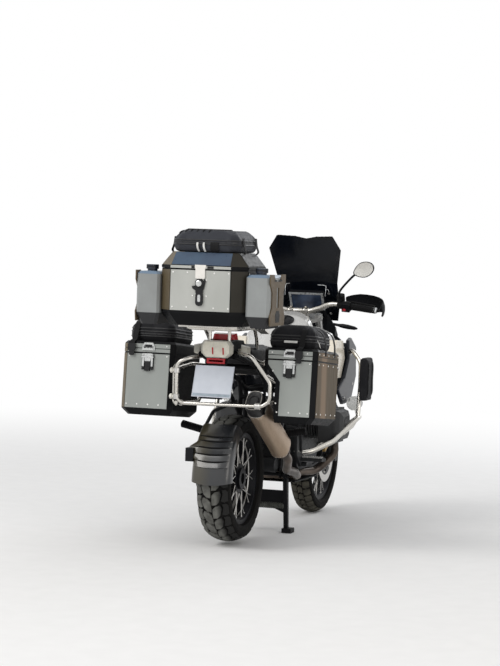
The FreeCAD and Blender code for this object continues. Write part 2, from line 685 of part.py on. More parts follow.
def shrouds():
    """Dark shells outside the tank's front, each round a radiator."""
    shells = []
    for side in SIDES:
        outline = [(858, 742), (962, 658), (1120, 664), (1215, 800), (1196, 960), (1090, 1014), (1040, 1000),
                   (1060, 900), (985, 800)]
        outer = loft([
            [rear(x, side * y, z) for x, z in outline] for y in (286, 306)
        ])
        rib = loft([
            [rear(1070, side * y, 700), rear(1180, side * y, 790), rear(1170, side * y, 950),
             rear(1080, side * y, 985)]
            for y in (184, 286)
        ])
        shells.append(fused([outer, rib]))
    feature("shrouds", Part.makeCompound(shells).cut(shapes_of("fuel_tank", "tank_panels")))


def seat():
    """Stepped seat: rider's hollow in front, passenger's pad behind."""
    rider = loft([
        [rear(x, -w, z - 58), rear(x, w, z - 58), rear(x, w + 6, z - 20), rear(x, w - 26, z),
         rear(x, -w + 26, z), rear(x, -w - 6, z - 20)]
        for x, w, z in ((290, 150, 900), (430, 148, 884), (560, 120, 890), (640, 84, 918))
    ])
    passenger = loft([
        [rear(x, -w, low), rear(x, w, low), rear(x, w + 4, z - 24), rear(x, w - 26, z),
         rear(x, -w + 26, z), rear(x, -w - 4, z - 24)]
        for x, w, low, z in ((-110, 118, 936, 1010), (120, 142, 900, 1002), (292, 148, 860, 980))
    ])
    shape = fused([rider, passenger]).cut(shapes_of("frame", "tail_frame", "fuel_tank"))
    feature("seat", biggest(shape))


def tail():
    """Tail housing under the carrier, the plate hanger below it and the inner mudguard."""
    body = loft([
        [rear(x, -w, low), rear(x, w, low), rear(x, w + 8, mid), rear(x, w - 14, high),
         rear(x, -w + 14, high),
         rear(x, -w - 8, mid)]
        for x, w, low, mid, high in ((-112, 96, 916, 960, 1032), (-180, 86, 936, 976, 1036),
                                     (-284, 62, 950, 990, 1030))
    ])
    slope = math.tan(math.radians(size("plate_tip")))

    def on_plate(z):
        return PLATE_MID[0] + (z - PLATE_MID[1]) * slope

    hanger = loft([
        [rear(on_plate(z), -w, z), rear(on_plate(z), w, z), rear(on_plate(z) + t, w, z + 3),
         rear(on_plate(z) + t, -w, z + 3)]
        for z, w, t in ((748, 60, 12), (925, 58, 14), (975, 50, 40))
    ])
    guard = loft([
        [rear(x, -78, z), rear(x, 78, z), rear(x, 78, z + 8), rear(x, -78, z + 8)]
        for x, z in ((-262, 930), (-60, 838), (190, 722))
    ])
    shape = fused([body, hanger, guard])
    feature("tail_fairing", biggest(shape.cut(shapes_of("frame", "tail_frame", "seat"))))


PLATE_MID = (-330, 834)


def rear_lamps():
    """Red tail lamp and reflector, a clear extra lamp over the plate and four clear indicators."""
    red = loft([
        [rear(x, -w, z0), rear(x, w, z0), rear(x, w - 10, z1), rear(x, -w + 10, z1)]
        for x, w, z0, z1 in ((-150, 66, 1020, 1066), (-196, 58, 1020, 1062))
    ])
    slope = math.tan(math.radians(size("plate_tip")))
    on_hanger = PLATE_MID[0] + (934 - PLATE_MID[1]) * slope
    reflector = box(rear(on_hanger - 9, -46, 921), rear(on_hanger + 12, 46, 947))
    tail_shape = nodes["tail_fairing"].Shape
    clear = loft([
        [rear(x, -w + 24, 950), rear(x, w - 24, 950), rear(x, w, 972), rear(x, w, 1012),
         rear(x, w - 16, 1034),
         rear(x, -w + 16, 1034), rear(x, -w, 1012), rear(x, -w, 972)]
        for x, w in ((-271, 80), (-290, 82), (-302, 74))
    ])
    feature("tail_lamp", Part.makeCompound([biggest(red.cut(tail_shape)),
                                            biggest(reflector.cut(tail_shape))]))
    lamps = [biggest(clear.cut([tail_shape, nodes["tail_lamp"].Shape]))]
    for side in SIDES:
        stalk = cylinder(rear(-200, side * 70, 984), rear(-200, side * 112, 984), 10)
        lens = loft([
            [rear(x, side * y0, 984 - h), rear(x, side * y1, 984 - h * 0.7),
             rear(x, side * y1, 984 + h * 0.7),
             rear(x, side * y0, 984 + h)]
            for x, y0, y1, h in ((-160, 106, 118, 12), (-206, 100, 146, 31), (-226, 104, 140, 26))
        ])
        lamps.append(biggest(fused([stalk, lens]).cut([tail_shape, nodes["tail_frame"].Shape])))
    feature("clear_lamps", Part.makeCompound(lamps))


def number_plate():
    """Blank plate, leaning forward on its hanger: a sketch and a pad."""
    body = doc.addObject("PartDesign::Body", "number_plate")
    plane = next(f for f in body.Origin.OriginFeatures if f.Role == "YZ_Plane")
    sketch = body.newObject("Sketcher::SketchObject", "plate_outline")
    sketch.AttachmentSupport = (plane, [""])
    sketch.MapMode = "FlatFace"
    half_w, half_h = size("plate_w") / 2, size("plate_h") / 2
    corners = [Vector(-half_w, -half_h, 0), Vector(half_w, -half_h, 0), Vector(half_w, half_h, 0),
               Vector(-half_w, half_h, 0)]
    for start, end in zip(corners, corners[1:] + corners[:1]):
        sketch.addGeometry(Part.LineSegment(start, end), False)
    pad = body.newObject("PartDesign::Pad", "plate_sheet")
    pad.Profile = sketch
    pad.Length = 3
    body.Placement = Placement(rear(PLATE_MID[0] - 3, 0, PLATE_MID[1] + 1),
                               Rotation(Y_AXIS, size("plate_tip")))
    doc.recompute()
    nodes["number_plate"] = body


def luggage_rack():
    """Bright tube loop and plate that carry the top case."""
    r = size("rack_tube_r")
    top_z = size("top_low_z") - r - 8
    left = [rear(20, 112, 930), rear(-50, 126, 1040), rear(-110, 132, top_z), rear(-400, 132, top_z)]
    right = [Vector(p.x, -p.y, p.z) for p in reversed(left)]
    hoop = tube(left + right, r, 60)
    bars = [cylinder(rear(x, -132, top_z), rear(x, 132, top_z), r) for x in (-140, -330)]
    plate = box(rear(-440, -150, top_z + r - 4), rear(-130, 150, size("top_low_z")))
    slots = [box(rear(x, y - 16, 0), rear(x + 90, y + 16, 2000)) for x in (-390, -250) for y in (-90, 0, 90)]
    posts = [cylinder(rear(-250, side * 50, 1020), rear(-250, side * 50, top_z + r), 8) for side in SIDES]
    grips = [loft([
        [rear(x, side * 124, z), rear(x, side * y, z), rear(x, side * y, z + 14), rear(x, side * 124, z + 14)]
        for x, y, z in ((-160, 150, top_z - 5), (-60, 172, top_z - 12), (30, 166, top_z - 34))
    ]) for side in SIDES]
    shape = fused([hoop] + bars + [plate.cut(slots)] + posts + grips)
    cutters = shapes_of("tail_fairing", "frame", "tail_frame", "seat", "tail_lamp")
    feature("luggage_rack", biggest(shape.cut(cutters)))


# Rear hoop that carries the side cases: from the left of the tail, round under the plate, to its right
HOOP_X = -330
HOOP_ROUTE = [(-250, 92, 950), (HOOP_X, 128, 944), (HOOP_X, 190, 920), (HOOP_X, 188, 722),
              (HOOP_X, -250, 726),
              (HOOP_X, -290, 752), (HOOP_X, -291, 842), (HOOP_X, -191, 968), (-250, -92, 976)]
LEFT_RAIL = [(HOOP_X, 190, 722), (-280, 208, 716), (60, 208, 700), (120, 200, 760), (110, 122, 852)]
RIGHT_RAIL = [(HOOP_X, -284, 748), (60, -276, 716), (130, -236, 780), (110, -122, 852)]
LEFT_UPPER = [(HOOP_X, 189, 880), (-280, 206, 888), (-60, 206, 900), (80, 122, 884)]
RIGHT_UPPER = [(HOOP_X, -204, 952), (-270, -208, 938), (-60, -208, 912), (80, -122, 884)]
# Pads that the side cases hang on: side, x, y of the tube, z of the tube
CASE_PADS = [(1, -180, 208, 711), (1, 20, 208, 702), (1, -180, 206, 894), (-1, -180, -208, 927)]


def pannier_rack():
    r = size("rack_tube_r")
    hoop = tube([rear(*point) for point in HOOP_ROUTE], r, 46)
    routes = (LEFT_RAIL, RIGHT_RAIL, LEFT_UPPER, RIGHT_UPPER)
    rails = [tube([rear(*point) for point in route], r, 60) for route in routes]
    thin = tube([rear(HOOP_X, 188, 712), rear(-300, 214, 724), rear(-300, 216, 900), rear(HOOP_X, 189, 912)],
                5, 24)
    inner_y = size("pannier_outer_y") - size("pannier_width")
    pads = [cylinder(rear(x, y, z), rear(x, side * inner_y, z), 15) for side, x, y, z in CASE_PADS]
    for x, z in ((-180, 735.5), (20, 718)):
        pads.append(cylinder(rear(x, -278, z), rear(x, -inner_y - size("case_step"), z), 15))
    shape = fused([hoop, thin] + rails + pads)
    others = ("frame", "tail_frame", "tail_fairing", "clear_lamps", "seat")
    feature("pannier_rack", biggest(shape.cut([nodes[name].Shape for name in others])))


# Metal cases
def case_plan(x0, x1, y0, y1, corner):
    """A rectangle seen from above with its four corners cut."""
    return [(x0 + corner, y0), (x1 - corner, y0), (x1, y0 + corner), (x1, y1 - corner),
            (x1 - corner, y1), (x0 + corner, y1), (x0, y1 - corner), (x0, y0 + corner)]


def case_body(plan_at, levels, floor_wall):
    """An open case through level outlines: (height, inset) from the bottom up."""
    outer = loft([[Vector(x, y, z) for x, y in plan_at(inset)] for z, inset in levels])
    wall = size("case_wall")
    inner_levels = [(levels[0][0] + floor_wall, levels[0][1])] + list(levels[1:])
    inner_levels[-1] = (levels[-1][0] + 1, levels[-1][1])
    inner = loft([[Vector(x, y, z) for x, y in plan_at(inset + wall)] for z, inset in inner_levels])
    return outer.cut(inner)


def case_lid(plan_at, levels):
    """A lid through level outlines, hollow underneath."""
    wall = size("case_wall")
    outer = loft([[Vector(x, y, z) for x, y in plan_at(inset)] for z, inset in levels])
    inner_levels = [(levels[0][0] - 1, levels[0][1])] + list(levels[1:])
    inner_levels[-1] = (levels[-1][0] - wall, levels[-1][1])
    inner = loft([[Vector(x, y, z) for x, y in plan_at(inset + wall)] for z, inset in inner_levels])
    return outer.cut(inner)


def hinge(x, y_mid, z, reach):
    """On a case's front wall: ears with their pin, and the knuckle and web that a lid turns on."""
    out, pin_r = size("hinge_out"), size("hinge_pin_r")
    outline = [(x - 1, z - 16), (x + out + 5, z - 8), (x + out + 5, z + 5), (x + 2, z + 5), (x + 2, z - 3),
               (x - 1, z - 3)]
    ears = []
    for y in (y_mid - reach - 14, y_mid + reach + 2):
        face = Part.Face(polygon([Vector(px, y, pz) for px, pz in outline]))
        ears.append(face.extrude(Vector(0, 12, 0)))
    low, high = Vector(x + out, y_mid - reach, z), Vector(x + out, y_mid + reach, z)
    pin = cylinder(low - Y_AXIS * 10, high + Y_AXIS * 10, pin_r)
    knuckle = cylinder(low, high, 6.5)
    web = box(Vector(x - 1, y_mid - reach, z + 2), Vector(x + out, y_mid + reach, z + 6.5))
    bore = cylinder(low - Y_AXIS, high + Y_AXIS, pin_r + size("running_gap"))
    return ears + [pin], fused([knuckle, web]).cut(bore)


PANNIER_CORNER = 22


def pannier_placement():
    """The side cases tip down at the front about their rear lower edge."""
    return Rotation(Y_AXIS, size("pannier_tip")), rear(size("pannier_rear_x"), 0, size("pannier_low_z"))


def tipped(shape):
    rotation, pivot = pannier_placement()
    shape = shape.copy()
    shape.rotate(pivot, Y_AXIS, size("pannier_tip"))
    return shape


def tipped_point(x, y, z):
    """Where a point of an untipped case lies."""
    rotation, pivot = pannier_placement()
    return pivot + rotation.multVec(Vector(x, y, z) - pivot)


def panniers():
    """Side cases with lids that hinge at the front; the right one is cut back for the silencer."""
    x0 = REAR_X + size("pannier_rear_x")
    x1 = x0 + size("pannier_length")
    low, body_h, lid_h = size("pannier_low_z"), size("pannier_body_h"), size("pannier_lid_h")
    outer_y, width, gap = size("pannier_outer_y"), size("pannier_width"), size("lid_gap")
    rim = low + body_h
    for name, side in (("left", 1), ("right", -1)):
        y_in, y_out = side * (outer_y - width), side * outer_y
        ya, yb = min(y_in, y_out), max(y_in, y_out)

        def plan_at(inset):
            return case_plan(x0 + inset, x1 - inset, ya + inset, yb - inset, PANNIER_CORNER)

        body = case_body(plan_at, [(low, 26), (low + 30, 0), (rim, 0)], size("case_wall"))
        if side < 0:
            body = right_cut(body, x0, x1, yb, low, rim)
        lid = case_lid(plan_at, [(rim + gap, 0), (rim + lid_h - 12, 0), (rim + lid_h, 10)])
        fixed, turning = hinge(x1, (ya + yb) / 2, rim, 60)
        keeper = box(Vector(x0 - 7, (ya + yb) / 2 - 26, rim + 16),
                     Vector(x0, (ya + yb) / 2 + 26, rim + lid_h * 0.6))
        lid = fused([lid, keeper, turning])
        body = fused([body] + fixed)
        feature(f"pannier_{name}", tipped(body))
        feature(f"pannier_lid_{name}", tipped(lid))


def right_cut(body, x0, x1, y_in, low, rim):
    """The inner lower corner of the right case stands back from the silencer."""
    step, wall, drop = size("case_step"), size("case_wall"), 88
    top = rim - 22
    cut_profile = [(y_in + 2, low - 2), (y_in - step, low - 2), (y_in - step, top - drop), (y_in, top),
                   (y_in + 2, top)]
    wall_profile = [(y_in, top), (y_in - step, top - drop), (y_in - step, low), (y_in - step - wall, low),
                    (y_in - step - wall, top - drop - wall), (y_in - wall, top - 2), (y_in - wall, top + 3),
                    (y_in, top + 3)]
    cutter = Part.Face(polygon([Vector(x0 - 1, y, z) for y, z in cut_profile]))
    cutter = cutter.extrude(Vector(x1 - x0 + 2, 0, 0))
    skin = Part.Face(polygon([Vector(x0, y, z) for y, z in wall_profile]))
    skin = skin.extrude(Vector(x1 - x0, 0, 0))
    outline = loft([[Vector(x, y, z) for x, y in case_plan(x0 + i, x1 - i, y_in - size("pannier_width") + i,
                                                           y_in - i, PANNIER_CORNER)]
                    for z, i in ((low, 26), (low + 30, 0), (rim, 0))])
    return fused([body.cut(cutter), skin.common(outline)])


def top_case():
    """Top case with cut corners, a tapered base and a bevelled lid that hinges at the front."""
    x0 = REAR_X + size("top_rear_x")
    x1 = x0 + size("top_length")
    half, corner = size("top_width") / 2, size("top_corner")
    low, rim = size("top_low_z"), size("top_low_z") + size("top_body_h")
    gap, lid_h = size("lid_gap"), size("top_lid_h")

    def plan_at(inset):
        return case_plan(x0 + inset, x1 - inset, -half + inset, half - inset, corner)

    body = case_body(plan_at, [(low, 34), (low + 58, 0), (rim, 0)], size("case_wall"))
    fixed, turning = hinge(x1, 0, rim, 90)
    feature("top_case", fused([body] + fixed))
    lid = case_lid(plan_at, [(rim + gap, 0), (rim + 16, 0), (rim + lid_h, 52)])
    hasp = box(Vector(x0 - 6, -16, rim - 36), Vector(x0 - 1.5, 16, rim + 14))
    hasp_root = box(Vector(x0 - 6, -16, rim + gap + 2), Vector(x0 + 1, 16, rim + 14))
    feature("top_case_lid", fused([lid, hasp, hasp_root, turning]))


def latches():
    """Latch bodies on the three cases, under their lids' keepers."""
    x0 = REAR_X + size("pannier_rear_x")
    rim = size("pannier_low_z") + size("pannier_body_h")
    pieces = []
    for side in SIDES:
        y = side * (size("pannier_outer_y") - size("pannier_width") / 2)
        base = box(Vector(x0 - 6, y - 22, rim - 62), Vector(x0, y + 22, rim - 4))
        lever = box(Vector(x0 - 13, y - 17, rim - 56), Vector(x0 - 6, y + 17, rim - 14))
        pieces.append(tipped(fused([base, lever])))
    x0 = REAR_X + size("top_rear_x")
    rim = size("top_low_z") + size("top_body_h")
    lock = fused([box(Vector(x0 - 12, -20, rim - 118), Vector(x0, 20, rim - 42)),
                  cylinder(Vector(x0 - 20, 0, rim - 60), Vector(x0 - 12, 0, rim - 60), 15)])
    pieces.append(lock)
    feature("latches", Part.makeCompound(pieces))


def canisters():
    """Flat fuel canisters beside the top case, each in a pressed holder."""
    x0 = REAR_X + size("top_rear_x") + 30
    x1 = x0 + size("can_length")
    y0 = size("top_width") / 2
    y1 = y0 + size("can_width")
    low, high = size("top_low_z") - 2, size("top_low_z") - 2 + size("can_height")
    can = loft([
        [Vector(x, y, z) for x, y in case_plan(x0 + inset, x1 - inset, y0 + inset, y1 - inset, 12)]
        for z, inset in ((low, 20), (low + 52, 0), (high - 12, 0), (high, 12))
    ])
    neck = cylinder(Vector(x0 + 62, (y0 + y1) / 2, high - 1), Vector(x0 + 62, (y0 + y1) / 2, high + 10), 24)
    cap = cylinder(Vector(x0 + 62, (y0 + y1) / 2, high + 10), Vector(x0 + 62, (y0 + y1) / 2, high + 32), 29)
    feature("canisters", both_sides(fused([can, neck, cap])))
    waist = [(x0 + 12, low + 14), (x1 - 12, low + 14), (x1 - 4, low + 60), (x1 - 34, low + 104),
             (x1 - 34, low + 172), (x1 - 2, low + 214), (x1 - 2, high + 4), (x1 - 60, high + 4),
             (x1 - 78, high - 30), (x0 + 78, high - 30), (x0 + 60, high + 4), (x0 + 2, high + 4),
             (x0 + 2, low + 214), (x0 + 34, low + 172), (x0 + 34, low + 104), (x0 + 4, low + 60)]
    face = Part.Face(polygon([Vector(x, y1, z) for x, z in waist]))
    plate = face.extrude(Vector(0, 6, 0))
    window = box(Vector((x0 + x1) / 2 - 18, y1 - 1, low + 100),
                 Vector((x0 + x1) / 2 + 18, y1 + 10, low + 196))
    feature("canister_holders", both_sides(plate.cut(window)))


# Soft bags
def bag(x0, x1, y0, y1, z0, z1, soft):
    """A closed bag with a bevelled edge all round."""
    return loft([
        [Vector(x, y, z) for x, y in case_plan(x0 + inset, x1 - inset, y0 + inset, y1 - inset, soft)]
        for z, inset in ((z0, soft * 0.3), (z0 + soft * 0.5, 0), (z1 - soft * 0.8, 0), (z1, soft * 0.9))
    ])


def bags():
    lid_top = size("pannier_low_z") + size("pannier_body_h") + size("pannier_lid_h")
    x0 = REAR_X + size("pannier_rear_x")
    inner_y, outer_y = size("pannier_outer_y") - size("pannier_width"), size("pannier_outer_y")
    for name, ya, yb in (("left", inner_y + 22, outer_y - 2), ("right", 30 - outer_y, 4 - inner_y)):
        feature(f"lid_bag_{name}", tipped(bag(x0 + 46, x0 + 376, ya, yb, lid_top + 0.5, lid_top + 92, 30)))
    top = size("top_low_z") + size("top_body_h") + size("top_lid_h")
    tx = REAR_X + size("top_rear_x")
    feature("top_bag", bag(tx + 40, tx + 385, -176, 176, top + 0.5, top + 106, 42))


# Exhaust
SILENCER = ((-286, -196, 752), (150, -228, 462))


def exhaust():
    tail_end, joint = rear(*SILENCER[0]), rear(*SILENCER[1])
    along = (tail_end - joint).normalize()
    side = along.cross(Vector(0, 0, 1)).normalize()
    up = side.cross(along).normalize()

    def ring(s, w, h):
        centre = joint + along * s
        outline = ((-0.62, -1), (0.62, -1), (1, -0.35), (1, 0.45), (0.5, 1), (-0.5, 1), (-1, 0.45),
                   (-1, -0.35))
        return [centre + side * (w * a) + up * (h * b) for a, b in outline]

    length = (tail_end - joint).Length
    can = loft([ring(0, 30, 34), ring(46, 46, 58), ring(length - 60, 47, 62), ring(length, 40, 54)])
    outlet = cylinder(joint + along * (length - 34), joint + along * (length + 4), 26)
    feature("silencer", can.cut(outlet))
    r = 23
    link = tube([joint + along * 2, joint - along * 70, rear(330, -190, 356), rear(480, -190, 330),
                 rear(590, -172, 300), rear(650, -90, 298)], r, 60)
    pipes = [link]
    for port_side, x in CYLINDER_SIDES:
        port = rear(x + 50, port_side * 286, CYLINDER_Z - 88)
        pipes.append(tube([port, port + Vector(20, 0, -70), rear(x + 60, port_side * 190, 300),
                           rear(760, port_side * 120, 296), rear(600, port_side * 60, 300)], 20, 60))
    collector = loft([
        [rear(x, -w, 278), rear(x, w, 278), rear(x, w, 318), rear(x, -w, 318)]
        for x, w in ((720, 60), (690, 96), (610, 110), (584, 96))
    ])
    shape = fused(pipes + [collector])
    blockers = shapes_of("engine_block", "cylinders", "silencer", "stand_hanger")
    feature("exhaust_pipes", biggest(shape.cut(blockers)))


def rear_hugger():
    """Ribbed guard close behind the rear tyre, on an arm from the drive housing."""
    centre = Vector(REAR_X, 0, REAR_Z)
    inner = size("rear_tyre_r") + 14
    half = size("rear_tyre_w") / 2 + 10
    wall = 5
    profile = [(-half - wall, inner - 46), (-half - wall, inner - 20), (-half + 36, inner + wall),
               (half - 36, inner + wall), (half + wall, inner - 20), (half + wall, inner - 46),
               (half, inner - 46), (half, inner - 22), (half - 38, inner), (-half + 38, inner),
               (-half, inner - 22), (-half, inner - 46)]
    face = Part.Face(polygon([centre + Vector(0, y, r) for y, r in profile]))
    face.rotate(centre, Y_AXIS, -88)
    shell = face.revolve(centre, Y_AXIS, 52)
    ribs = []
    for angle in (-82, -73, -64, -55):
        rib = box(centre + Vector(-4, -half + 34, inner + wall - 1),
                  centre + Vector(4, half - 34, inner + wall + 5))
        rib.rotate(centre, Y_AXIS, angle)
        ribs.append(rib)
    arm = loft([
        [rear(x, y, z - h), rear(x, y + 8, z - h), rear(x, y + 8, z + h), rear(x, y, z + h)]
        for x, y, z, h in ((-40, 122, 366, 16), (-200, 106, 450, 24), (-276, 97, 468, 30))
    ])
    block = box(rear(-318, half + 1, 436), rear(-250, half + 41, 502))
    apex = rear(-206, 26, 602)
    stays = [tube([apex, rear(-326, y, 742)], 5) for y in (52, -38)]
    shape = fused([shell, block] + ribs + [arm] + stays)
    shape = shape.cut(shapes_of("swingarm", "tail_fairing"))
    feature("rear_hugger", biggest(shape))


# Guards, rests and plates
GUARD_LOW = [(560, 160, 420), (592, 240, 430), (690, 330, 480), (900, 402, 592), (990, 396, 600),
             (1084, 250, 500), (1040, 120, 400)]
GUARD_HIGH = [(925, 400, 594), (970, 396, 760), (975, 394, 890), (1020, 330, 955), (1100, 292, 920)]


def engine_guards():
    """Bright tube loops round each cylinder, with an upright to the tank's shoulder."""
    r = size("guard_tube_r")
    low = tube([rear(*point) for point in GUARD_LOW], r, 90)
    high = tube([rear(*point) for point in GUARD_HIGH], r * 0.86, 60)
    strut = tube([rear(700, 318, 468), rear(880, 384, 550), rear(910, 400, 590)], r * 0.6, 30)
    left = fused([low, high, strut])
    cutters = shapes_of("engine_block", "cylinders", "tank_panels", "shrouds", "exhaust_pipes", "fuel_tank",
                        "front_arm")
    pair = [biggest(piece.cut(cutters)) for piece in (left, mirrored(left))]
    feature("engine_guards", Part.makeCompound(pair))


def guard_bags():
    """Soft bags strapped to the uprights of the engine guards."""
    pieces = []
    for side in SIDES:
        ya, yb = min(side * 410, side * 458), max(side * 410, side * 458)
        pieces.append(bag(REAR_X + 868, REAR_X + 1010, ya, yb, 690, 926, 11))
    feature("guard_bags", Part.makeCompound(pieces))


def footrests():
    """Cast hangers with ribbed rests for rider and passenger, the brake pedal and the gear lever."""
    pieces = []
    for side in SIDES:
        hanger = loft([
            [rear(452, side * y, 560), rear(560, side * y, 556), rear(590, side * y, 402),
             rear(576, side * y, 352),
             rear(544, side * y, 352), rear(462, side * y, 420)]
            for y in (190, 204)
        ])
        window = loft([
            [rear(476, side * y, 530), rear(536, side * y, 530), rear(552, side * y, 430),
             rear(492, side * y, 436)]
            for y in (180, 214)
        ])
        arm = cylinder(rear(508, side * 128, 560), rear(508, side * 196, 548), 12)
        rest = box(rear(538, side * 204, 384) if side > 0 else rear(538, -318, 384),
                   rear(574, 318, 402) if side > 0 else rear(574, -204, 402))
        rider = fused([hanger.cut(window), arm, rest])
        back_arm = tube([rear(338, side * 92, 694), rear(250, side * 190, 640), rear(152, side * 206, 552)],
                        9, 40)
        back_rest = cylinder(rear(150, side * 196, 550), rear(180, side * 330, 574), 14)
        passenger = fused([back_arm, back_rest])
        pieces += [rider, passenger]
    brake = tube([rear(560, -222, 366), rear(640, -232, 352), rear(742, -244, 372)], 8, 40)
    gear = tube([rear(560, 222, 366), rear(640, 232, 352), rear(742, 244, 372)], 8, 40)
    pads = [box(rear(732, -276, 366), rear(758, -232, 382)), box(rear(732, 232, 366), rear(758, 276, 382))]
    heels = [cylinder(rear(560, side * 200, 366), rear(560, side * 232, 366), 12) for side in (-1, 1)]
    pieces += [fused([brake, pads[0], heels[0]]), fused([gear, pads[1], heels[1]])]
    cutters = shapes_of("frame", "tail_frame", "engine_block", "seat", "engine_guards", "pannier_rack",
                        "exhaust_pipes", "stand_hanger")
    feature("footrests", Part.makeCompound([biggest(piece.cut(cutters)) for piece in pieces]))


def skid_plate():
    """Bent plate under the engine that rises in front of it."""
    outline = [(590, 262), (985, 258), (1096, 356), (1112, 420), (1106, 422), (1090, 362), (983, 264),
               (590, 268)]
    sheet_metal = side_plate(outline, -160, 160)
    posts = [cylinder(rear(x, side * 140, 264), rear(x, side * 140, 330), 10)
             for x in (720, 960) for side in SIDES]
    shape = fused([sheet_metal] + posts)
    cutters = shapes_of("engine_block", "exhaust_pipes", "engine_guards", "front_arm")
    feature("skid_plate", biggest(shape.cut(cutters)))


# Front bodywork
def windscreen():
    """Tall dark screen, dished round the rider, with ears at its upper corners."""
    wall = 5

    def arc_shell(offset):
        sections = []
        for x, z, bow in ((-96, 1075, 150), (-190, 1240, 110), (-322, 1570, 90)):
            half = 300
            outer = Part.Arc(front(x - bow, half, z), front(x + offset, 0, z),
                             front(x - bow, -half, z)).toShape()
            inner = Part.Arc(front(x - bow - wall, -half, z), front(x - wall + offset, 0, z),
                             front(x - bow - wall, half, z)).toShape()
            ends = [Part.makeLine(front(x - bow, -half, z), front(x - bow - wall, -half, z)),
                    Part.makeLine(front(x - bow - wall, half, z), front(x - bow, half, z))]
            sections.append(Part.Wire(Part.__sortEdges__([outer, ends[0], inner, ends[1]])))
        return Part.makeLoft(sections, True, True)

    outline = [(-150, 1090), (-172, 1180), (-168, 1300), (-196, 1440), (-205, 1484), (-160, 1556),
               (-60, 1552),
               (0, 1540), (60, 1552), (160, 1556), (205, 1484), (196, 1440), (168, 1300), (172, 1180),
               (150, 1090)]
    mask = Part.Face(polygon([front(-600, y, z) for y, z in outline])).extrude(Vector(700, 0, 0))
    feature("windscreen", biggest(arc_shell(0).common(mask)))


def front_fairing():
    """Beak over the front wheel and the cowl that carries lamp, dash and screen."""
    beak = loft([
        [front(x, -w, z - t), front(x, w, z - t), front(x, w + 8, z), front(x, w * 0.6, z + 22),
         front(x, -w * 0.6, z + 22),
         front(x, -w - 8, z)]
        for x, w, z, t in ((-112, 112, 912, 18), (40, 92, 884, 16), (170, 48, 856, 12), (222, 14, 842, 8))
    ])
    cowl = loft([
        [front(x, -w, low), front(x, w, low), front(x, w + 6, mid), front(x, w - 40, high),
         front(x, -w + 40, high),
         front(x, -w - 6, mid)]
        for x, w, low, mid, high in ((-208, 150, 1000, 1060, 1130), (-110, 138, 912, 1010, 1102),
                                     (-62, 110, 908, 990, 1066))
    ])
    hollow = box(front(-260, -102, 960), front(-140, 102, 1140))
    tongues = [tube([rear(1160, side * 226, 930), front(-230, side * 190, 985),
                     front(-180, side * 140, 1010)], 9, 30)
               for side in SIDES]
    stem = cylinder(steer(HEAD_LOW + 42, 20, 0), front(-130, 0, 1000), 14)
    shape = fused([beak, cowl.cut(hollow), stem] + tongues)
    feature("front_fairing", biggest(shape.cut([nodes[n].Shape for n in ("shrouds", "windscreen", "frame")])))


def lamps():
    """Twin headlamp in the cowl and two fog lamps on the engine guards."""
    lens = loft([
        [front(x, -w, 934), front(x, w, 934), front(x, w + 10, 990), front(x, w - 24, 1046),
         front(x, -w + 24, 1046),
         front(x, -w - 10, 990)]
        for x, w in ((-61.5, 84), (-30, 70))
    ])
    pieces = [biggest(lens.cut(nodes["front_fairing"].Shape))]
    for side in SIDES:
        body = cylinder(rear(1000, side * 352, 664), rear(1056, side * 352, 664), 38)
        foot = cylinder(rear(1008, side * 380, 590), rear(1012, side * 360, 640), 8)
        pieces.append(biggest(fused([body, foot]).cut(shapes_of("engine_guards", "guard_bags"))))
    feature("front_lamps", Part.makeCompound(pieces))


def instrument():
    """Flat display behind the screen."""
    panel = box(Vector(-12, -98, -56), Vector(12, 98, 56))
    panel.Placement = Placement(front(-246, 0, 1204), Rotation(Y_AXIS, -34))
    stays = [tube([front(-240, side * 70, 1190), front(-185, side * 108, 1088)], 8) for side in SIDES]
    shape = fused([panel] + stays)
    feature("instrument", biggest(shape.cut([nodes[n].Shape for n in ("front_fairing", "windscreen")])))


# Stands
def centre_stand():
    """Two legs on one pin, with a broad cross plate and flat feet."""
    px, pz, fx = size("stand_pivot_x"), size("stand_pivot_z"), size("stand_foot_x")
    y, pin_r = size("stand_half_w"), size("stand_pin_r")
    pieces = []

    def on_leg(share):
        return px + (fx - px) * share, pz * (1 - share)

    for side in SIDES:
        inner, outer = side * (y - 11), side * (y + 11)
        x0, z0 = on_leg(0)
        x1, z1 = on_leg(0.93)
        leg = loft([
            [rear(x - w, inner, z), rear(x + w, inner, z), rear(x + w, outer, z), rear(x - w, outer, z)]
            for x, z, w in ((x0, z0 - 4, 17), (x1, z1, 11))
        ])
        boss = cylinder(rear(px, inner, pz), rear(px, outer, pz), 24)
        foot = box(rear(fx - 34, min(side * (y - 16), side * (y + 34)), 0),
                   rear(fx + 34, max(side * (y - 16), side * (y + 34)), 24))
        pieces += [leg, boss, foot]
    xa, za = on_leg(0.28)
    xb, zb = on_leg(0.52)
    brace = loft([
        [rear(xx - 7, -y, zz), rear(xx - 7, y, zz), rear(xx + 7, y, zz), rear(xx + 7, -y, zz)]
        for xx, zz in ((xa, za), (xb, zb))
    ])
    xc, zc = on_leg(0.57)
    bar = tube([rear(xc, -y, zc - 20), rear(xc, -y * 0.45, zc + 8), rear(xc, y * 0.45, zc + 8),
                rear(xc, y, zc - 20)],
               12, 60)
    tang = tube([rear(fx - 4, y + 8, 46), rear(fx - 30, y + 50, 40), rear(fx - 36, y + 86, 44)], 8, 20)
    bore = cylinder(rear(px, -y - 60, pz), rear(px, y + 60, pz), pin_r + size("running_gap"))
    feature("centre_stand", fused(pieces + [brace, bar, tang]).cut(bore))


SIDE_PIVOT = (628, 198, 318)
SIDE_AXIS = Vector(0, -math.cos(math.radians(18)), -math.sin(math.radians(18)))


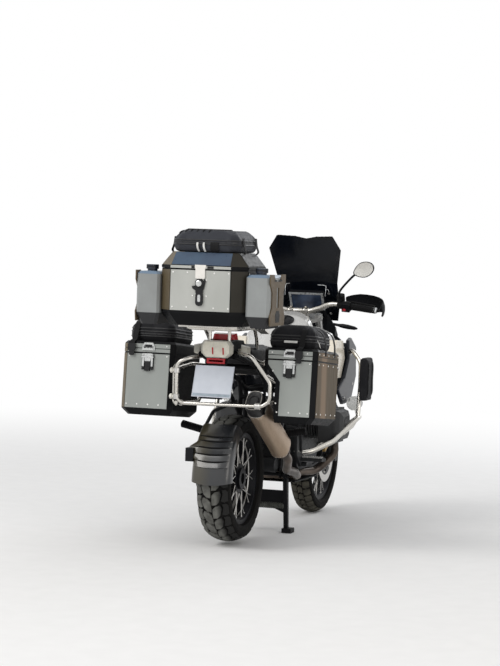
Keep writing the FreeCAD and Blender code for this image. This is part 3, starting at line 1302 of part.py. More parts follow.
def side_stand():
    """Prop folded back along the left side; its pivot leans so that the foot swings outwards."""
    pivot = rear(*SIDE_PIVOT)
    eye = cylinder(pivot - SIDE_AXIS * 12, pivot + SIDE_AXIS * 12, 20)
    leg = cylinder(pivot, pivot + Vector(-236, 0, 0), 11)
    foot = Part.makeBox(44, 50, 12, Vector(-44, -18, -22))
    foot.Placement = Placement(pivot + Vector(-222, 0, 0), Rotation(Vector(1, 0, 0), 0))
    bolt = cylinder(pivot - SIDE_AXIS * 30, pivot + SIDE_AXIS * 60, 9 + size("running_gap"))
    feature("side_stand", fused([eye, leg, foot]).cut(bolt))
    pin = cylinder(pivot - SIDE_AXIS * 18, pivot + SIDE_AXIS * 34, 9)
    plate = cylinder(pivot + SIDE_AXIS * 12.3, pivot + SIDE_AXIS * 30, 22)
    arm = cylinder(pivot + SIDE_AXIS * 27, rear(700, 126, 356), 14)
    cutters = shapes_of("engine_block", "exhaust_pipes", "skid_plate")
    feature("stand_bracket", biggest(fused([pin, plate, arm]).cut(cutters)))


def build():
    rear_wheel()
    front_wheel()
    swingarm()
    rear_shock()
    engine()
    cylinders()
    frame()
    front_arm()
    fork()
    handlebar()
    bar_controls()
    hand_guards()
    mirrors()
    front_mudguard()
    fuel_tank()
    tank_panels()
    shrouds()
    seat()
    tail()
    rear_lamps()
    number_plate()
    luggage_rack()
    pannier_rack()
    panniers()
    top_case()
    latches()
    canisters()
    bags()
    exhaust()
    rear_hugger()
    engine_guards()
    guard_bags()
    footrests()
    skid_plate()
    windscreen()
    front_fairing()
    lamps()
    instrument()
    centre_stand()
    side_stand()


build()
doc.recompute()
for item in doc.Objects:
    if {"Invalid", "Error"} & set(item.State):
        raise RuntimeError(f"{item.Label} failed")
os.makedirs("parts", exist_ok=True)
for label, piece in nodes.items():
    if piece.Shape.isNull() or not piece.Shape.isValid():
        raise RuntimeError(f"{label} has no valid shape")
    piece.Shape.exportStep(f"parts/{label}.step")
    print(f"{label:18s} solids {len(piece.Shape.Solids)} volume {piece.Shape.Volume / 1e6:.2f} l")
print(len(nodes), "nodes")
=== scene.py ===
# %% [markdown]
# # A loaded touring motorcycle on its centre stand
# The solid model already holds the machine's tubes, castings, cases and wheels at their real size. This
# lesson dresses it: it gives every surface a finish, cuts a real tread into the tyres, rivets the cases,
# sews the bags and sets up a plain studio with the camera at the photograph's angle. Lengths are metres,
# +X is forward, +Y is the rider's left and +Z is up, and nothing here moves a solid of the model.

# %% Load the solid model
import json
import math

import bmesh
import bpy
from mathutils import Matrix, Vector

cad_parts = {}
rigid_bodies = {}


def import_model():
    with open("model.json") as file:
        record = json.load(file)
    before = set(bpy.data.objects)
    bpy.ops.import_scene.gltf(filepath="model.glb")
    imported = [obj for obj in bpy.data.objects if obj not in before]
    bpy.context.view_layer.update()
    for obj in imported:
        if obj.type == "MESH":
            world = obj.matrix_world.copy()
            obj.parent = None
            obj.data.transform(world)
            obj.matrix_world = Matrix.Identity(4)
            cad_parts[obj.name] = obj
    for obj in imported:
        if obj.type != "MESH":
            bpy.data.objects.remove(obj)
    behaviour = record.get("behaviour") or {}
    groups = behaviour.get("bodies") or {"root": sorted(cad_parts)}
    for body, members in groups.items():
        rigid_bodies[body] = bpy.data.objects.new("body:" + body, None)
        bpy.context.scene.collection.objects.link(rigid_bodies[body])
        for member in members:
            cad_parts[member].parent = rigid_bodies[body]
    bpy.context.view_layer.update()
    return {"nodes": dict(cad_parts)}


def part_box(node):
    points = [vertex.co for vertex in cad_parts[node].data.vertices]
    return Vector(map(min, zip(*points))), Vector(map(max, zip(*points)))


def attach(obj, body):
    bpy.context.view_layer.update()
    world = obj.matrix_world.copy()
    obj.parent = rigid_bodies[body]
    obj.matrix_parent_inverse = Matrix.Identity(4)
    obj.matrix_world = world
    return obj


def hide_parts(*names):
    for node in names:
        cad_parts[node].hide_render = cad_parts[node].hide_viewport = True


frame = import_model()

CAD = frame["nodes"]
print("solid pieces:", len(CAD))

# %% [markdown]
# ## Stations read from the model
# The axles and the steering axis are lines that many pieces share. The axles are read from the boxes of the
# model's own tyres, so the dressing of a wheel stays on its wheel. The steering axis leans back by the rake.

# %% Stations
mm = 0.001


def middle(node):
    """The middle of a solid piece's box."""
    low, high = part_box(node)
    return (low + high) / 2


REAR_AXLE = middle("rear_tyre")
FRONT_AXLE = middle("front_tyre")
REAR_AXLE.y = FRONT_AXLE.y = 0.0
RAKE = math.radians(24.5)
UP_STEER = Vector((-math.sin(RAKE), 0, math.cos(RAKE)))
FORE_STEER = Vector((math.cos(RAKE), 0, math.sin(RAKE)))
print("rear axle", REAR_AXLE, "front axle", FRONT_AXLE)

# %% [markdown]
# ## Camera
# The photograph was taken from about ten metres behind the machine and a little to its right, with a long
# lens at the height of a rider's head. A long lens keeps the two wheels near their true sizes. Heading, dip
# and lean turn the view as a tripod head does: first round the upright, then down, then to one side.

# %% Camera
CAMERA_SPOT = Vector((-11.316, -3.493, 1.573))
HEADING, DIP, LEAN = (math.radians(angle) for angle in (17.8, 1.985, 2.0))
LONG_SIDE_PIXELS, FOCAL_PIXELS, SENSOR = 666, 2250, 36.0


def camera_axes():
    """Right, up and forward of the camera, as three unit vectors."""
    ahead = Vector((math.cos(HEADING) * math.cos(DIP), math.sin(HEADING) * math.cos(DIP), -math.sin(DIP)))
    across = Vector((math.sin(HEADING), -math.cos(HEADING), 0))
    lean = Matrix.Rotation(-LEAN, 3, "X")
    return lean @ across, lean @ across.cross(ahead), lean @ ahead


camera_data = bpy.data.cameras.new("photo_camera")
camera_data.sensor_width = SENSOR
camera_data.lens = FOCAL_PIXELS / LONG_SIDE_PIXELS * SENSOR
camera = bpy.data.objects.new("photo_camera", camera_data)
bpy.context.scene.collection.objects.link(camera)
across, over, ahead = camera_axes()
turn = Matrix((across, over, -ahead)).transposed().to_4x4()
camera.matrix_world = Matrix.Translation(CAMERA_SPOT) @ turn
bpy.context.scene.camera = camera
print("lens", round(camera_data.lens, 1), "mm")

# %% [markdown]
# ## Light and floor
# A pale studio: the world lights everything softly, a broad lamp from behind on the left gives the shapes a
# lit and a shaded side, a weak warm one fills the right and a third lights the front. Camera, mirror and
# glass rays see a white world, while surfaces are lit by a dimmer one, so the background is white without
# washing out the paint. The floor keeps the shadow near the wheels and fades to white further out.

# %% World
WORLD_LIGHT, WORLD_SEEN = 0.62, 1.0
world = bpy.data.worlds.new("pale_studio")
world.use_nodes = True
bpy.context.scene.world = world


def plug(tree, socket, value):
    """Sets a socket, or links it when the value is another node's output."""
    if isinstance(value, bpy.types.NodeSocket):
        tree.links.new(value, socket)
    elif socket.type == "RGBA" and len(value) == 3:
        socket.default_value = (*value, 1.0)
    else:
        socket.default_value = value


def node(tree, kind, props=(), given=(), **sockets):
    """A shader node: props are its settings, given fills its sockets in order and sockets by name."""
    made = tree.nodes.new("ShaderNode" + kind)
    for name, value in dict(props).items():
        setattr(made, name, value)
    for socket, value in zip(made.inputs, given):
        plug(tree, socket, value)
    for name, value in sockets.items():
        plug(tree, made.inputs[name.replace("_", " ")], value)
    return made


def worked(tree, operation, *given, clamp=False):
    """A number that a math node works out from others."""
    return node(tree, "Math", {"operation": operation, "use_clamp": clamp}, given).outputs[0]


def seen_directly(tree):
    """1 where a camera, mirror or glass ray looks, 0 where a surface is being lit."""
    path = node(tree, "LightPath").outputs
    either = worked(tree, "ADD", path["Is Camera Ray"], path["Is Glossy Ray"])
    return worked(tree, "ADD", either, path["Is Transmission Ray"], clamp=True)


sky = world.node_tree
strength = node(sky, "MapRange", Value=seen_directly(sky), To_Min=WORLD_LIGHT, To_Max=WORLD_SEEN)
plug(sky, sky.nodes["Background"].inputs["Strength"], strength.outputs[0])
plug(sky, sky.nodes["Background"].inputs["Color"], (1.0, 1.0, 1.0))

# %% Lamps
# name, place, width, power, colour
LAMPS = [
    ("key_lamp", (-6.0, 5.0, 6.5), 4.5, 420, (1.0, 0.985, 0.96)),
    ("fill_lamp", (-5.0, -6.5, 2.6), 4.0, 110, (1.0, 0.94, 0.86)),
    ("front_lamp", (7.5, -2.0, 5.0), 4.0, 150, (0.95, 0.97, 1.0)),
]
AIM = Vector((-0.2, 0.0, 0.8))
for name, place, width, power, colour in LAMPS:
    data = bpy.data.lights.new(name, "AREA")
    data.size, data.energy, data.color = width, power, colour
    lamp = bpy.data.objects.new(name, data)
    lamp.location = place
    lamp.rotation_euler = (AIM - Vector(place)).to_track_quat("-Z", "Y").to_euler()
    bpy.context.scene.collection.objects.link(lamp)
print("lamps:", len(LAMPS))

# %% Floor
FLOOR_REACH, FADE_FROM, FADE_TO, FLOOR_SINK = 70.0, 2.6, 8.0, 0.0005
FLOOR_DARK, FLOOR_PALE = 0.80, 0.86
floor_shape = bmesh.new()
bmesh.ops.create_circle(floor_shape, cap_ends=True, segments=64, radius=FLOOR_REACH)
floor_mesh = bpy.data.meshes.new("floor")
floor_shape.to_mesh(floor_mesh)
floor_shape.free()
floor_mesh.transform(Matrix.Translation((0, 0, -FLOOR_SINK)))
floor = bpy.data.objects.new("floor", floor_mesh)
bpy.context.scene.collection.objects.link(floor)

floor_paint = bpy.data.materials.new("pale_floor")
floor_paint.use_nodes = True
tree = floor_paint.node_tree
where = node(tree, "TexCoord").outputs["Object"]
away = node(tree, "VectorMath", {"operation": "LENGTH"}, [where]).outputs["Value"]
fade = node(tree, "MapRange", {"interpolation_type": "SMOOTHSTEP"}, Value=away, From_Min=FADE_FROM,
            From_Max=FADE_TO)
share = worked(tree, "MULTIPLY", fade.outputs[0], seen_directly(tree))
mottle = node(tree, "TexNoise", Vector=where, Scale=9.0, Detail=6.0).outputs[0]
tone = node(tree, "MapRange", Value=mottle, To_Min=FLOOR_DARK, To_Max=FLOOR_PALE).outputs[0]
matte = tree.nodes["Principled BSDF"]
plug(tree, matte.inputs["Base Color"], tone)
matte.inputs["Roughness"].default_value = 0.9
matte.inputs["Specular IOR Level"].default_value = 0.1
glow = node(tree, "Emission", Color=(1.0, 1.0, 1.0), Strength=1.0)
blend = node(tree, "MixShader", given=[share, matte.outputs[0], glow.outputs[0]])
tree.links.new(blend.outputs[0], tree.nodes["Material Output"].inputs["Surface"])
floor_mesh.materials.append(floor_paint)

view = bpy.context.scene.view_settings
view.view_transform = "Standard"

# %% [markdown]
# ## Finishes
# One recipe makes most finishes: a base colour that drifts in soft clouds, a roughness that follows finer
# flecks, and a bump of fine grain. What differs is the scale of each and how much the surface shines.
# Every pattern reads the piece's own Object coordinates, in metres, so a scale of 400 means features of
# about two and a half millimetres. A zone swaps colour, roughness and metal inside a part of one piece,
# such as bright wires inside a black rim, because the piece is one solid in the model.

# %% Finish recipe
finish = {}
COAT_ROUGH, BUMP_SHARE = 0.12, 0.6


def mixed(tree, share, first, second):
    """A colour between two, as a socket."""
    made = node(tree, "Mix", {"data_type": "RGBA"})
    for socket, value in zip((made.inputs[0], made.inputs[6], made.inputs[7]), (share, first, second)):
        plug(tree, socket, value)
    return made.outputs[2]


def lerp(tree, share, first, second):
    """A number between two, as a socket."""
    return node(tree, "Mix", given=[share], A=first, B=second).outputs[0]


def surface(name, colour, rough, metallic=0.0, second=None, clouds=5.0, fleck=90.0, grain=420.0, depth=0.3,
            specular=0.5, coat=0.0, stretch=(1, 1, 1), zones=(), rough_span=0.09):
    """The common finish. depth is the grain's height in mm; zones are (mask, colour, rough, metal)."""
    material = bpy.data.materials.new(name)
    material.use_nodes = True
    tree = material.node_tree
    shader = tree.nodes["Principled BSDF"]
    shader.inputs["Specular IOR Level"].default_value = specular
    shader.inputs["Coat Weight"].default_value = coat
    shader.inputs["Coat Roughness"].default_value = COAT_ROUGH
    place = node(tree, "TexCoord").outputs["Object"]
    spot = node(tree, "Mapping", Vector=place, Scale=stretch).outputs[0]
    drift = node(tree, "TexNoise", Vector=spot, Scale=clouds, Detail=5.0).outputs[0]
    share = node(tree, "MapRange", Value=drift, From_Min=0.35, From_Max=0.65).outputs[0]
    flecks = node(tree, "TexNoise", Vector=spot, Scale=fleck, Detail=3.0).outputs[0]
    tint = mixed(tree, share, colour, second or tuple(0.74 * value for value in colour))
    sheen = node(tree, "MapRange", Value=flecks, From_Min=0.3, From_Max=0.7,
                 To_Min=max(0.04, rough - rough_span),
                 To_Max=min(1.0, rough + rough_span)).outputs[0]
    metal = metallic
    for mask, zone_colour, zone_rough, zone_metal in zones:
        inside = mask(tree, place)
        tint = mixed(tree, inside, tint, zone_colour)
        sheen = lerp(tree, inside, sheen, zone_rough)
        metal = lerp(tree, inside, metal, zone_metal)
    plug(tree, shader.inputs["Base Color"], tint)
    plug(tree, shader.inputs["Roughness"], sheen)
    plug(tree, shader.inputs["Metallic"], metal)
    rise = node(tree, "TexNoise", Vector=spot, Scale=grain, Detail=2.0).outputs[0]
    bump = node(tree, "Bump", Strength=BUMP_SHARE, Distance=depth * mm, Height=rise)
    plug(tree, shader.inputs["Normal"], bump.outputs[0])
    finish[name] = material
    return material


def both(tree, first, second):
    """Where two masks overlap."""
    return worked(tree, "MULTIPLY", first, second)


def within(tree, value, low, high, soft=0.0006):
    """1 between two limits and 0 outside them; soft is the half width of the edges in metres."""
    above = node(tree, "MapRange", Value=value, From_Min=low - soft, From_Max=low + soft).outputs[0]
    below = node(tree, "MapRange", Value=value, From_Min=high + soft, From_Max=high - soft).outputs[0]
    return both(tree, above, below)


def ring_zone(centre, inner, outer, y_low=-1.0, y_high=1.0):
    """A mask between two radii round an axle, between two distances from the middle plane."""
    def mask(tree, place):
        about = node(tree, "VectorMath", {"operation": "SUBTRACT"}, [place, tuple(centre)]).outputs[0]
        flat = node(tree, "VectorMath", {"operation": "MULTIPLY"}, [about, (1.0, 0.0, 1.0)]).outputs[0]
        reach = node(tree, "VectorMath", {"operation": "LENGTH"}, [flat]).outputs["Value"]
        side = node(tree, "SeparateXYZ", given=[place]).outputs["Y"]
        return both(tree, within(tree, reach, inner, outer), within(tree, side, y_low, y_high))
    return mask


def band_zone(axis, low, high, soft=0.0006):
    """A mask between two values of one coordinate."""
    def mask(tree, place):
        return within(tree, node(tree, "SeparateXYZ", given=[place]).outputs[axis], low, high, soft)
    return mask


def slanted_zone(direction, low, high):
    """A mask between two distances along a slanted direction."""
    def mask(tree, place):
        reach = node(tree, "VectorMath", {"operation": "DOT_PRODUCT"}, [place, tuple(direction)])
        return within(tree, reach.outputs["Value"], low, high)
    return mask


# %% [markdown]
# ### The machine's palette
# Black powder coat, cast alloy, bright tube, heat-tinted steel, moulded plastic, paint and rubber. Dark
# finishes keep a low specular level, because a matt black frame looks grey when it mirrors a white studio.

# %% Palette
BLACK, SOOT = (0.0075, 0.008, 0.010), (0.0115, 0.0118, 0.013)
BRIGHT = (0.62, 0.60, 0.56)
REAR_WIRES = ring_zone(REAR_AXLE, 76 * mm, 196 * mm)
FRONT_WIRES = ring_zone(FRONT_AXLE, 58 * mm, 219 * mm)
LEG_UP = slanted_zone(UP_STEER, 0.0246, 0.1046)
LEG_BACK = slanted_zone(FORE_STEER, 0.0, 0.9218)


def caliper_zone(tree, place):
    """The brake calipers are one solid with the fork: so far up its axis and behind its legs."""
    return both(tree, LEG_UP(tree, place), LEG_BACK(tree, place))


FRONT_CARRIER = [ring_zone(FRONT_AXLE, 20 * mm, 112 * mm, low, high)
                 for low, high in ((0.055, 0.09), (-0.09, -0.055))]
WIRE_BRIGHT = (0.50, 0.49, 0.47)

surface("powder_black", SOOT, 0.5, specular=0.06, grain=900, depth=0.15)
surface("matt_plastic", (0.0085, 0.009, 0.0108), 0.55, specular=0.06, grain=1300, depth=0.25)
surface("satin_plastic", BLACK, 0.34, specular=0.16, grain=500, depth=0.03)
surface("fork_dark", (0.026, 0.027, 0.029), 0.45, 0.2, specular=0.15, grain=700, depth=0.3, clouds=12,
        zones=[(caliper_zone, (0.33, 0.21, 0.07), 0.35, 0.5)])
surface("cast_grey", (0.058, 0.059, 0.061), 0.5, 0.3, specular=0.2, grain=700, depth=0.5, clouds=12)
surface("cast_dark", (0.026, 0.027, 0.029), 0.5, 0.2, specular=0.15, grain=700, depth=0.5, clouds=12)
surface("bright_tube", BRIGHT, 0.26, 1.0, (0.52, 0.50, 0.46), clouds=9, grain=300, depth=0.006)
surface("bare_steel", (0.62, 0.61, 0.59), 0.34, 0.9, clouds=30, fleck=200, depth=0.008)
surface("rear_rim_black", BLACK, 0.4, 0.1, specular=0.12, depth=0.05,
        zones=[(REAR_WIRES, WIRE_BRIGHT, 0.3, 0.9)])
surface("front_rim_black", BLACK, 0.4, 0.1, specular=0.12, depth=0.05,
        zones=[(FRONT_WIRES, WIRE_BRIGHT, 0.3, 0.9)] + [(zone, SOOT, 0.4, 0.3) for zone in FRONT_CARRIER])
surface("tank_paint", (0.62, 0.62, 0.61), 0.24, coat=0.6, depth=0.02, clouds=2,
        zones=[(band_zone("Z", 0.0, 0.85), BLACK, 0.45, 0.0)])
surface("panel_beige", (0.84, 0.78, 0.67), 0.3, second=(0.80, 0.74, 0.63), coat=0.4, depth=0.03, clouds=3)
surface("shroud_blue", (0.019, 0.022, 0.032), 0.34, specular=0.2, coat=0.15, depth=0.01, rough_span=0.02)
surface("silencer_steel", (0.40, 0.305, 0.225), 0.36, 0.7, (0.33, 0.25, 0.18), clouds=9, grain=260,
        depth=0.015, stretch=(1, 6, 1))
surface("pipe_steel", (0.15, 0.12, 0.098), 0.36, 0.8, (0.065, 0.054, 0.048), clouds=10, depth=0.015)
surface("grip_rubber", (0.009, 0.009, 0.0095), 0.62, specular=0.08, grain=260, depth=0.4)
surface("tyre_rubber", (0.009, 0.009, 0.0092), 0.72, second=(0.013, 0.0125, 0.0115), specular=0.03, clouds=16,
        fleck=180, grain=800, depth=0.3)
# The rear tread's right shoulder is darker than the rest: painted shade on the side turned from the key lamp.
surface("tread_rubber", (0.155, 0.156, 0.144), 0.8, second=(0.088, 0.088, 0.080), specular=0.2, clouds=30,
        fleck=240, grain=900, depth=0.5,
        zones=[(band_zone("Y", -0.2, -0.034, 0.012), (0.016, 0.016, 0.0155), 0.8, 0.0)])
surface("tread_dark", (0.068, 0.064, 0.050), 0.8, second=(0.040, 0.038, 0.031), specular=0.2, clouds=30,
        fleck=240, grain=900, depth=0.5)
surface("case_black", (0.0075, 0.008, 0.009), 0.42, specular=0.07, grain=700, depth=0.1)
surface("can_grey", (0.27, 0.285, 0.285), 0.5, second=(0.23, 0.24, 0.24), grain=600, depth=0.2, clouds=6,
        zones=[(band_zone("Z", 1.0, 1.166), BLACK, 0.5, 0.0),
               (band_zone("Z", 1.352, 1.367), (0.13, 0.19, 0.27), 0.4, 0.0),
               (band_zone("Z", 1.367, 1.5), (0.010, 0.015, 0.028), 0.4, 0.0)])
surface("holder_bronze", (0.112, 0.086, 0.056), 0.46, second=(0.092, 0.070, 0.045), specular=0.12, clouds=4,
        depth=0.03)
# The number plate is white; its blue-grey finish, well below white, is painted shade.
surface("plate_white", (0.52, 0.555, 0.62), 0.4, second=(0.48, 0.515, 0.58), clouds=20, depth=0.05)
# The top lid's rear slope is slate blue: a painted reflection of the sky.
surface("lid_blue", (0.050, 0.085, 0.135), 0.36, 0.35, (0.04, 0.06, 0.10), clouds=7, depth=0.05)
surface("yoke_silver", (0.50, 0.50, 0.49), 0.34, 0.7, grain=500, depth=0.02, clouds=9)

GLASS_BEND = 1.45


def glassy(name, colour, rough, through, specular=0.5):
    """A lens or a screen: a clear body with a faint cloud of haze in its colour."""
    material = surface(name, colour, rough, clouds=12, depth=0.02, rough_span=0.03, specular=specular)
    shader = material.node_tree.nodes["Principled BSDF"]
    shader.inputs["Transmission Weight"].default_value = through
    shader.inputs["IOR"].default_value = GLASS_BEND
    return material


glassy("smoke_screen", (0.004, 0.0055, 0.009), 0.14, 0.22, specular=0.18)
glassy("red_lens", (0.62, 0.02, 0.03), 0.22, 0.25)
glassy("clear_lens", (0.78, 0.76, 0.68), 0.2, 0.4)
surface("hex_lens", (0.72, 0.69, 0.60), 0.3, second=(0.62, 0.59, 0.50), clouds=30, depth=0.1, coat=0.5)
glassy("lamp_glass", (0.80, 0.80, 0.78), 0.08, 0.7)
print("finishes:", len(finish))

# %% Finishes of the solid pieces
WEARS = {
    "powder_black": "frame tail_frame stand_hanger front_arm front_shock centre_stand side_stand "
                    "stand_bracket rear_shock skid_plate",
    "cast_dark": "swingarm engine_block footrests",
    "fork_dark": "fork",
    "cast_grey": "cylinders",
    "yoke_silver": "fork_crown",
    "matt_plastic": "tail_fairing front_fairing front_mudguard hand_guards instrument mirrors seat latches",
    "satin_plastic": "rear_hugger",
    "grip_rubber": "bar_controls",
    "bright_tube": "handlebar luggage_rack pannier_rack engine_guards",
    "pipe_steel": "exhaust_pipes",
    "silencer_steel": "silencer",
    "tyre_rubber": "rear_tyre front_tyre lid_bag_left lid_bag_right top_bag guard_bags",
    "tank_paint": "fuel_tank",
    "panel_beige": "tank_panels",
    "shroud_blue": "shrouds",
    "case_black": "pannier_left pannier_right pannier_lid_left pannier_lid_right top_case top_case_lid",
    "can_grey": "canisters",
    "holder_bronze": "canister_holders",
    "plate_white": "number_plate",
    "smoke_screen": "windscreen",
    "red_lens": "tail_lamp",
    "clear_lens": "clear_lamps",
    "lamp_glass": "front_lamps",
    "rear_rim_black": "rear_rim",
    "front_rim_black": "front_rim",
}
for name, solids in WEARS.items():
    for solid in solids.split():
        CAD[solid].data.materials.clear()
        CAD[solid].data.materials.append(finish[name])

# %% [markdown]
# ## Tools for making pieces
# A piece is drawn in millimetres in its own flat frame and then laid on a face of the machine. Three forms
# cover most of what is needed: a bevelled plate cut to an outline, a turned part, and a bar along a path.
# All three close up on themselves, so every piece is a solid skin with its faces outward.

# %% Plates, turned parts and bars
SCENE = bpy.context.scene


def frame_on(origin, outward, up=(0, 0, 1)):
    """A frame on a face: local Z points outward, local Y up, origin and axes in millimetres."""
    z = Vector(outward).normalized()
    y = (Vector(up) - z * z.dot(Vector(up))).normalized()
    turn = Matrix((y.cross(z), y, z)).transposed().to_4x4()
    return Matrix.Translation(Vector(origin)) @ turn


def circle(steps):
    """The cosine and sine of even steps round a circle."""
    return [(math.cos(a), math.sin(a)) for a in (2 * math.pi * i / steps for i in range(steps))]


def path_ways(points, closed=False):
    """The direction of a path at each of its points."""
    last = len(points) - 1
    if closed:
        return [(points[(i + 1) % (last + 1)] - points[i - 1]).normalized() for i in range(last + 1)]
    return [(points[min(i + 1, last)] - points[max(i - 1, 0)]).normalized() for i in range(last + 1)]


class Shape:
    """A mesh put together in millimetres and handed over in metres."""

    def __init__(self):
        self.skin = bmesh.new()

    def _ring(self, points):
        return [self.skin.verts.new(point) for point in points]

    def _settle(self, new_verts, place, bevel=0.0, steps=2):
        if bevel:
            edges = {edge for vert in new_verts for edge in vert.link_edges if edge.calc_face_angle(0) > 0.5}
            made = bmesh.ops.bevel(self.skin, geom=list(edges), offset=bevel, segments=steps, profile=0.5,
                                   affect="EDGES", clamp_overlap=True)
            new_verts = {vert for vert in new_verts if vert.is_valid} | set(made["verts"])
            new_verts |= {vert for face in made["faces"] for vert in face.verts}
        bmesh.ops.transform(self.skin, matrix=place, verts=list(new_verts))
        return self

    def plate(self, outline, low, high, place=Matrix(), bevel=0.8, steps=2):
        """An outline of (x, y) points, counterclockwise, raised from low to high."""
        rings = [self._ring((x, y, z) for x, y in outline) for z in (low, high)]
        count = len(outline)
        self.skin.faces.new(list(reversed(rings[0])))
        self.skin.faces.new(rings[1])
        for i in range(count):
            j = (i + 1) % count
            self.skin.faces.new((rings[0][i], rings[0][j], rings[1][j], rings[1][i]))
        return self._settle(rings[0] + rings[1], place, bevel, steps)

    def box(self, x, y, z, place=Matrix(), bevel=0.8, steps=2):
        """A block between pairs of limits."""
        return self.plate(block(*x, *y), *z, place, bevel, steps)

    def turned(self, profile, place=Matrix(), steps=28):
        """A profile of (radius, height) points turned about local Z; it starts and ends on the axis."""
        rings = []
        for radius, height in profile:
            spots = circle(steps) if radius else [(0, 0)]
            rings.append(self._ring((radius * c, radius * s, height) for c, s in spots))
        for low, high in zip(rings, rings[1:]):
            for i in range(steps):
                j = (i + 1) % steps
                corners = [low[0]] if len(low) == 1 else [low[i], low[j]]
                corners += [high[0]] if len(high) == 1 else [high[j], high[i]]
                self.skin.faces.new(corners)
        return self._settle([vert for ring in rings for vert in ring], place)

    def hoop(self, profile, place=Matrix(), steps=96):
        """A closed loop of (radius, height) points turned about local Z, such as a tyre or a ring."""
        rings = [self._ring((radius * c, radius * s, height) for c, s in circle(steps)) for radius,
                 height in profile]
        return self._join(rings, place, closed=True)

    def bar(self, path, radius, place=Matrix(), steps=12, closed=False):
        """A round bar along a path. radius may be one number or one for each point."""
        points = [Vector(point) for point in path]
        radii = list(radius) if hasattr(radius, "__len__") else [radius] * len(points)
        ways = path_ways(points, closed)
        side = ways[0].orthogonal().normalized()
        rings = []
        for point, way, reach in zip(points, ways, radii):
            side = (side - way * side.dot(way)).normalized()
            other = way.cross(side)
            rings.append(self._ring(point + reach * (side * c + other * s) for c, s in circle(steps)))
        return self._join(rings, place, closed)

    def loft(self, rings, place=Matrix()):
        """Sections of equal count, joined in order and closed at both ends."""
        return self._join([self._ring(ring) for ring in rings], place)

    def _join(self, rings, place, closed=False):
        count = len(rings[0])
        for low, high in zip(rings, rings[1:] + (rings[:1] if closed else [])):
            for i in range(count):
                j = (i + 1) % count
                self.skin.faces.new((low[i], low[j], high[j], high[i]))
        if not closed:
            self.skin.faces.new(list(reversed(rings[0])))
            self.skin.faces.new(rings[-1])
        return self._settle([vert for ring in rings for vert in ring], place)

    def strap(self, path, width, thick, across, place=Matrix()):
        """A flat band along a path; across is the direction of its width."""
        points = [Vector(point) for point in path]
        wide = Vector(across).normalized() * width / 2
        rings = []
        for point, way in zip(points, path_ways(points)):
            lift = wide.cross(way).normalized() * thick / 2
            rings.append(self._ring(point + a * wide + b * lift for a, b in block(-1, 1, -1, 1)))
        return self._join(rings, place)

    def mesh(self, name, smooth_below=0.6):
        """The finished mesh in metres, smooth where its faces meet at a small angle."""
        bmesh.ops.recalc_face_normals(self.skin, faces=self.skin.faces)
        for face in self.skin.faces:
            face.smooth = True
        for edge in self.skin.edges:
            edge.smooth = edge.calc_face_angle(0) < smooth_below
        bmesh.ops.scale(self.skin, vec=(mm, mm, mm), verts=self.skin.verts)
        made = bpy.data.meshes.new(name)
        self.skin.to_mesh(made)
        self.skin.free()
        return made

    def piece(self, name, wears, body, slot=None, **options):
        """The finished mesh as a named piece."""
        return stand(name, self.mesh(name, **options), wears, body)


def stand(name, made, wears, body):
    """Puts a mesh in the scene as a named piece with its finish, riding on its body."""
    obj = bpy.data.objects.new(name, made)
    SCENE.collection.objects.link(obj)
    made.materials.clear()
    made.materials.append(finish[wears])
    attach(obj, body)
    return obj


def block(x0, x1, y0, y1):
    """A rectangle's four corners, counterclockwise."""
    return [(x0, y0), (x1, y0), (x1, y1), (x0, y1)]


def cut_block(x0, x1, y0, y1, cut):
    """A rectangle with its four corners cut off at 45 degrees."""
    return [(x0 + cut, y0), (x1 - cut, y0), (x1, y0 + cut), (x1, y1 - cut), (x1 - cut, y1), (x0 + cut, y1),
            (x0, y1 - cut), (x0, y0 + cut)]


def round_block(x0, x1, y0, y1, radius, steps=5):
    """A rectangle with rounded corners, counterclockwise."""
    corners = [(x1 - radius, y0 + radius, -90), (x1 - radius, y1 - radius, 0), (x0 + radius, y1 - radius, 90),
               (x0 + radius, y0 + radius, 180)]
    turns = [(x, y, math.radians(start + 90 * i / steps)) for x, y,
             start in corners for i in range(steps + 1)]
    return [(x + radius * math.cos(turn), y + radius * math.sin(turn)) for x, y, turn in turns]


def smooth_path(points, steps=8):
    """A path through every point, rounded between them."""
    points = [Vector(point) for point in points]
    ends = [2 * points[0] - points[1]] + points + [2 * points[-1] - points[-2]]
    path = []
    for a, b, c, d in zip(ends, ends[1:], ends[2:], ends[3:]):
        for i in range(steps):
            t = i / steps
            path.append(0.5 * ((2 * b) + (c - a) * t + (2 * a - 5 * b + 4 * c - d) * t * t
                               + (3 * b - 3 * c + d - a) * t ** 3))
    return path + [points[-1]]


# %% [markdown]
# ### Patterns as node trees
# Rivets, tread blocks and stitches are one small part repeated by a rule, so a Geometry Nodes tree repeats
# them. Each tree has named inputs, takes its part from an object, and ends by making the copies real and
# setting their finish. The result is kept as a plain mesh, and the part itself is then removed.

# %% Pattern trees


def new_tree(name, inputs):
    """A node tree with a geometry in and out, and the named inputs."""
    tree = bpy.data.node_groups.new(name, "GeometryNodeTree")
    tree.interface.new_socket("Geometry", in_out="INPUT", socket_type="NodeSocketGeometry")
    for label, kind in inputs:
        tree.interface.new_socket(label, in_out="INPUT", socket_type="NodeSocket" + kind)
    tree.interface.new_socket("Geometry", in_out="OUTPUT", socket_type="NodeSocketGeometry")
    return tree, tree.nodes.new("NodeGroupInput").outputs


def step(tree, kind, props=(), **sockets):
    """A node of the tree; sockets are named with underscores for spaces."""
    made = tree.nodes.new(kind)
    for name, value in dict(props).items():
        setattr(made, name, value)
    for name, value in sockets.items():
        plug(tree, made.inputs[name.replace("_", " ")], value)
    return made.outputs


def close_tree(tree, copies, wears):
    """Makes the copies real, sets their finish and hands them on."""
    real = step(tree, "GeometryNodeRealizeInstances", Geometry=copies)[0]
    dressed = step(tree, "GeometryNodeSetMaterial", Geometry=real, Material=wears)[0]
    out = tree.nodes.new("NodeGroupOutput")
    tree.links.new(dressed, out.inputs[0])
    return tree


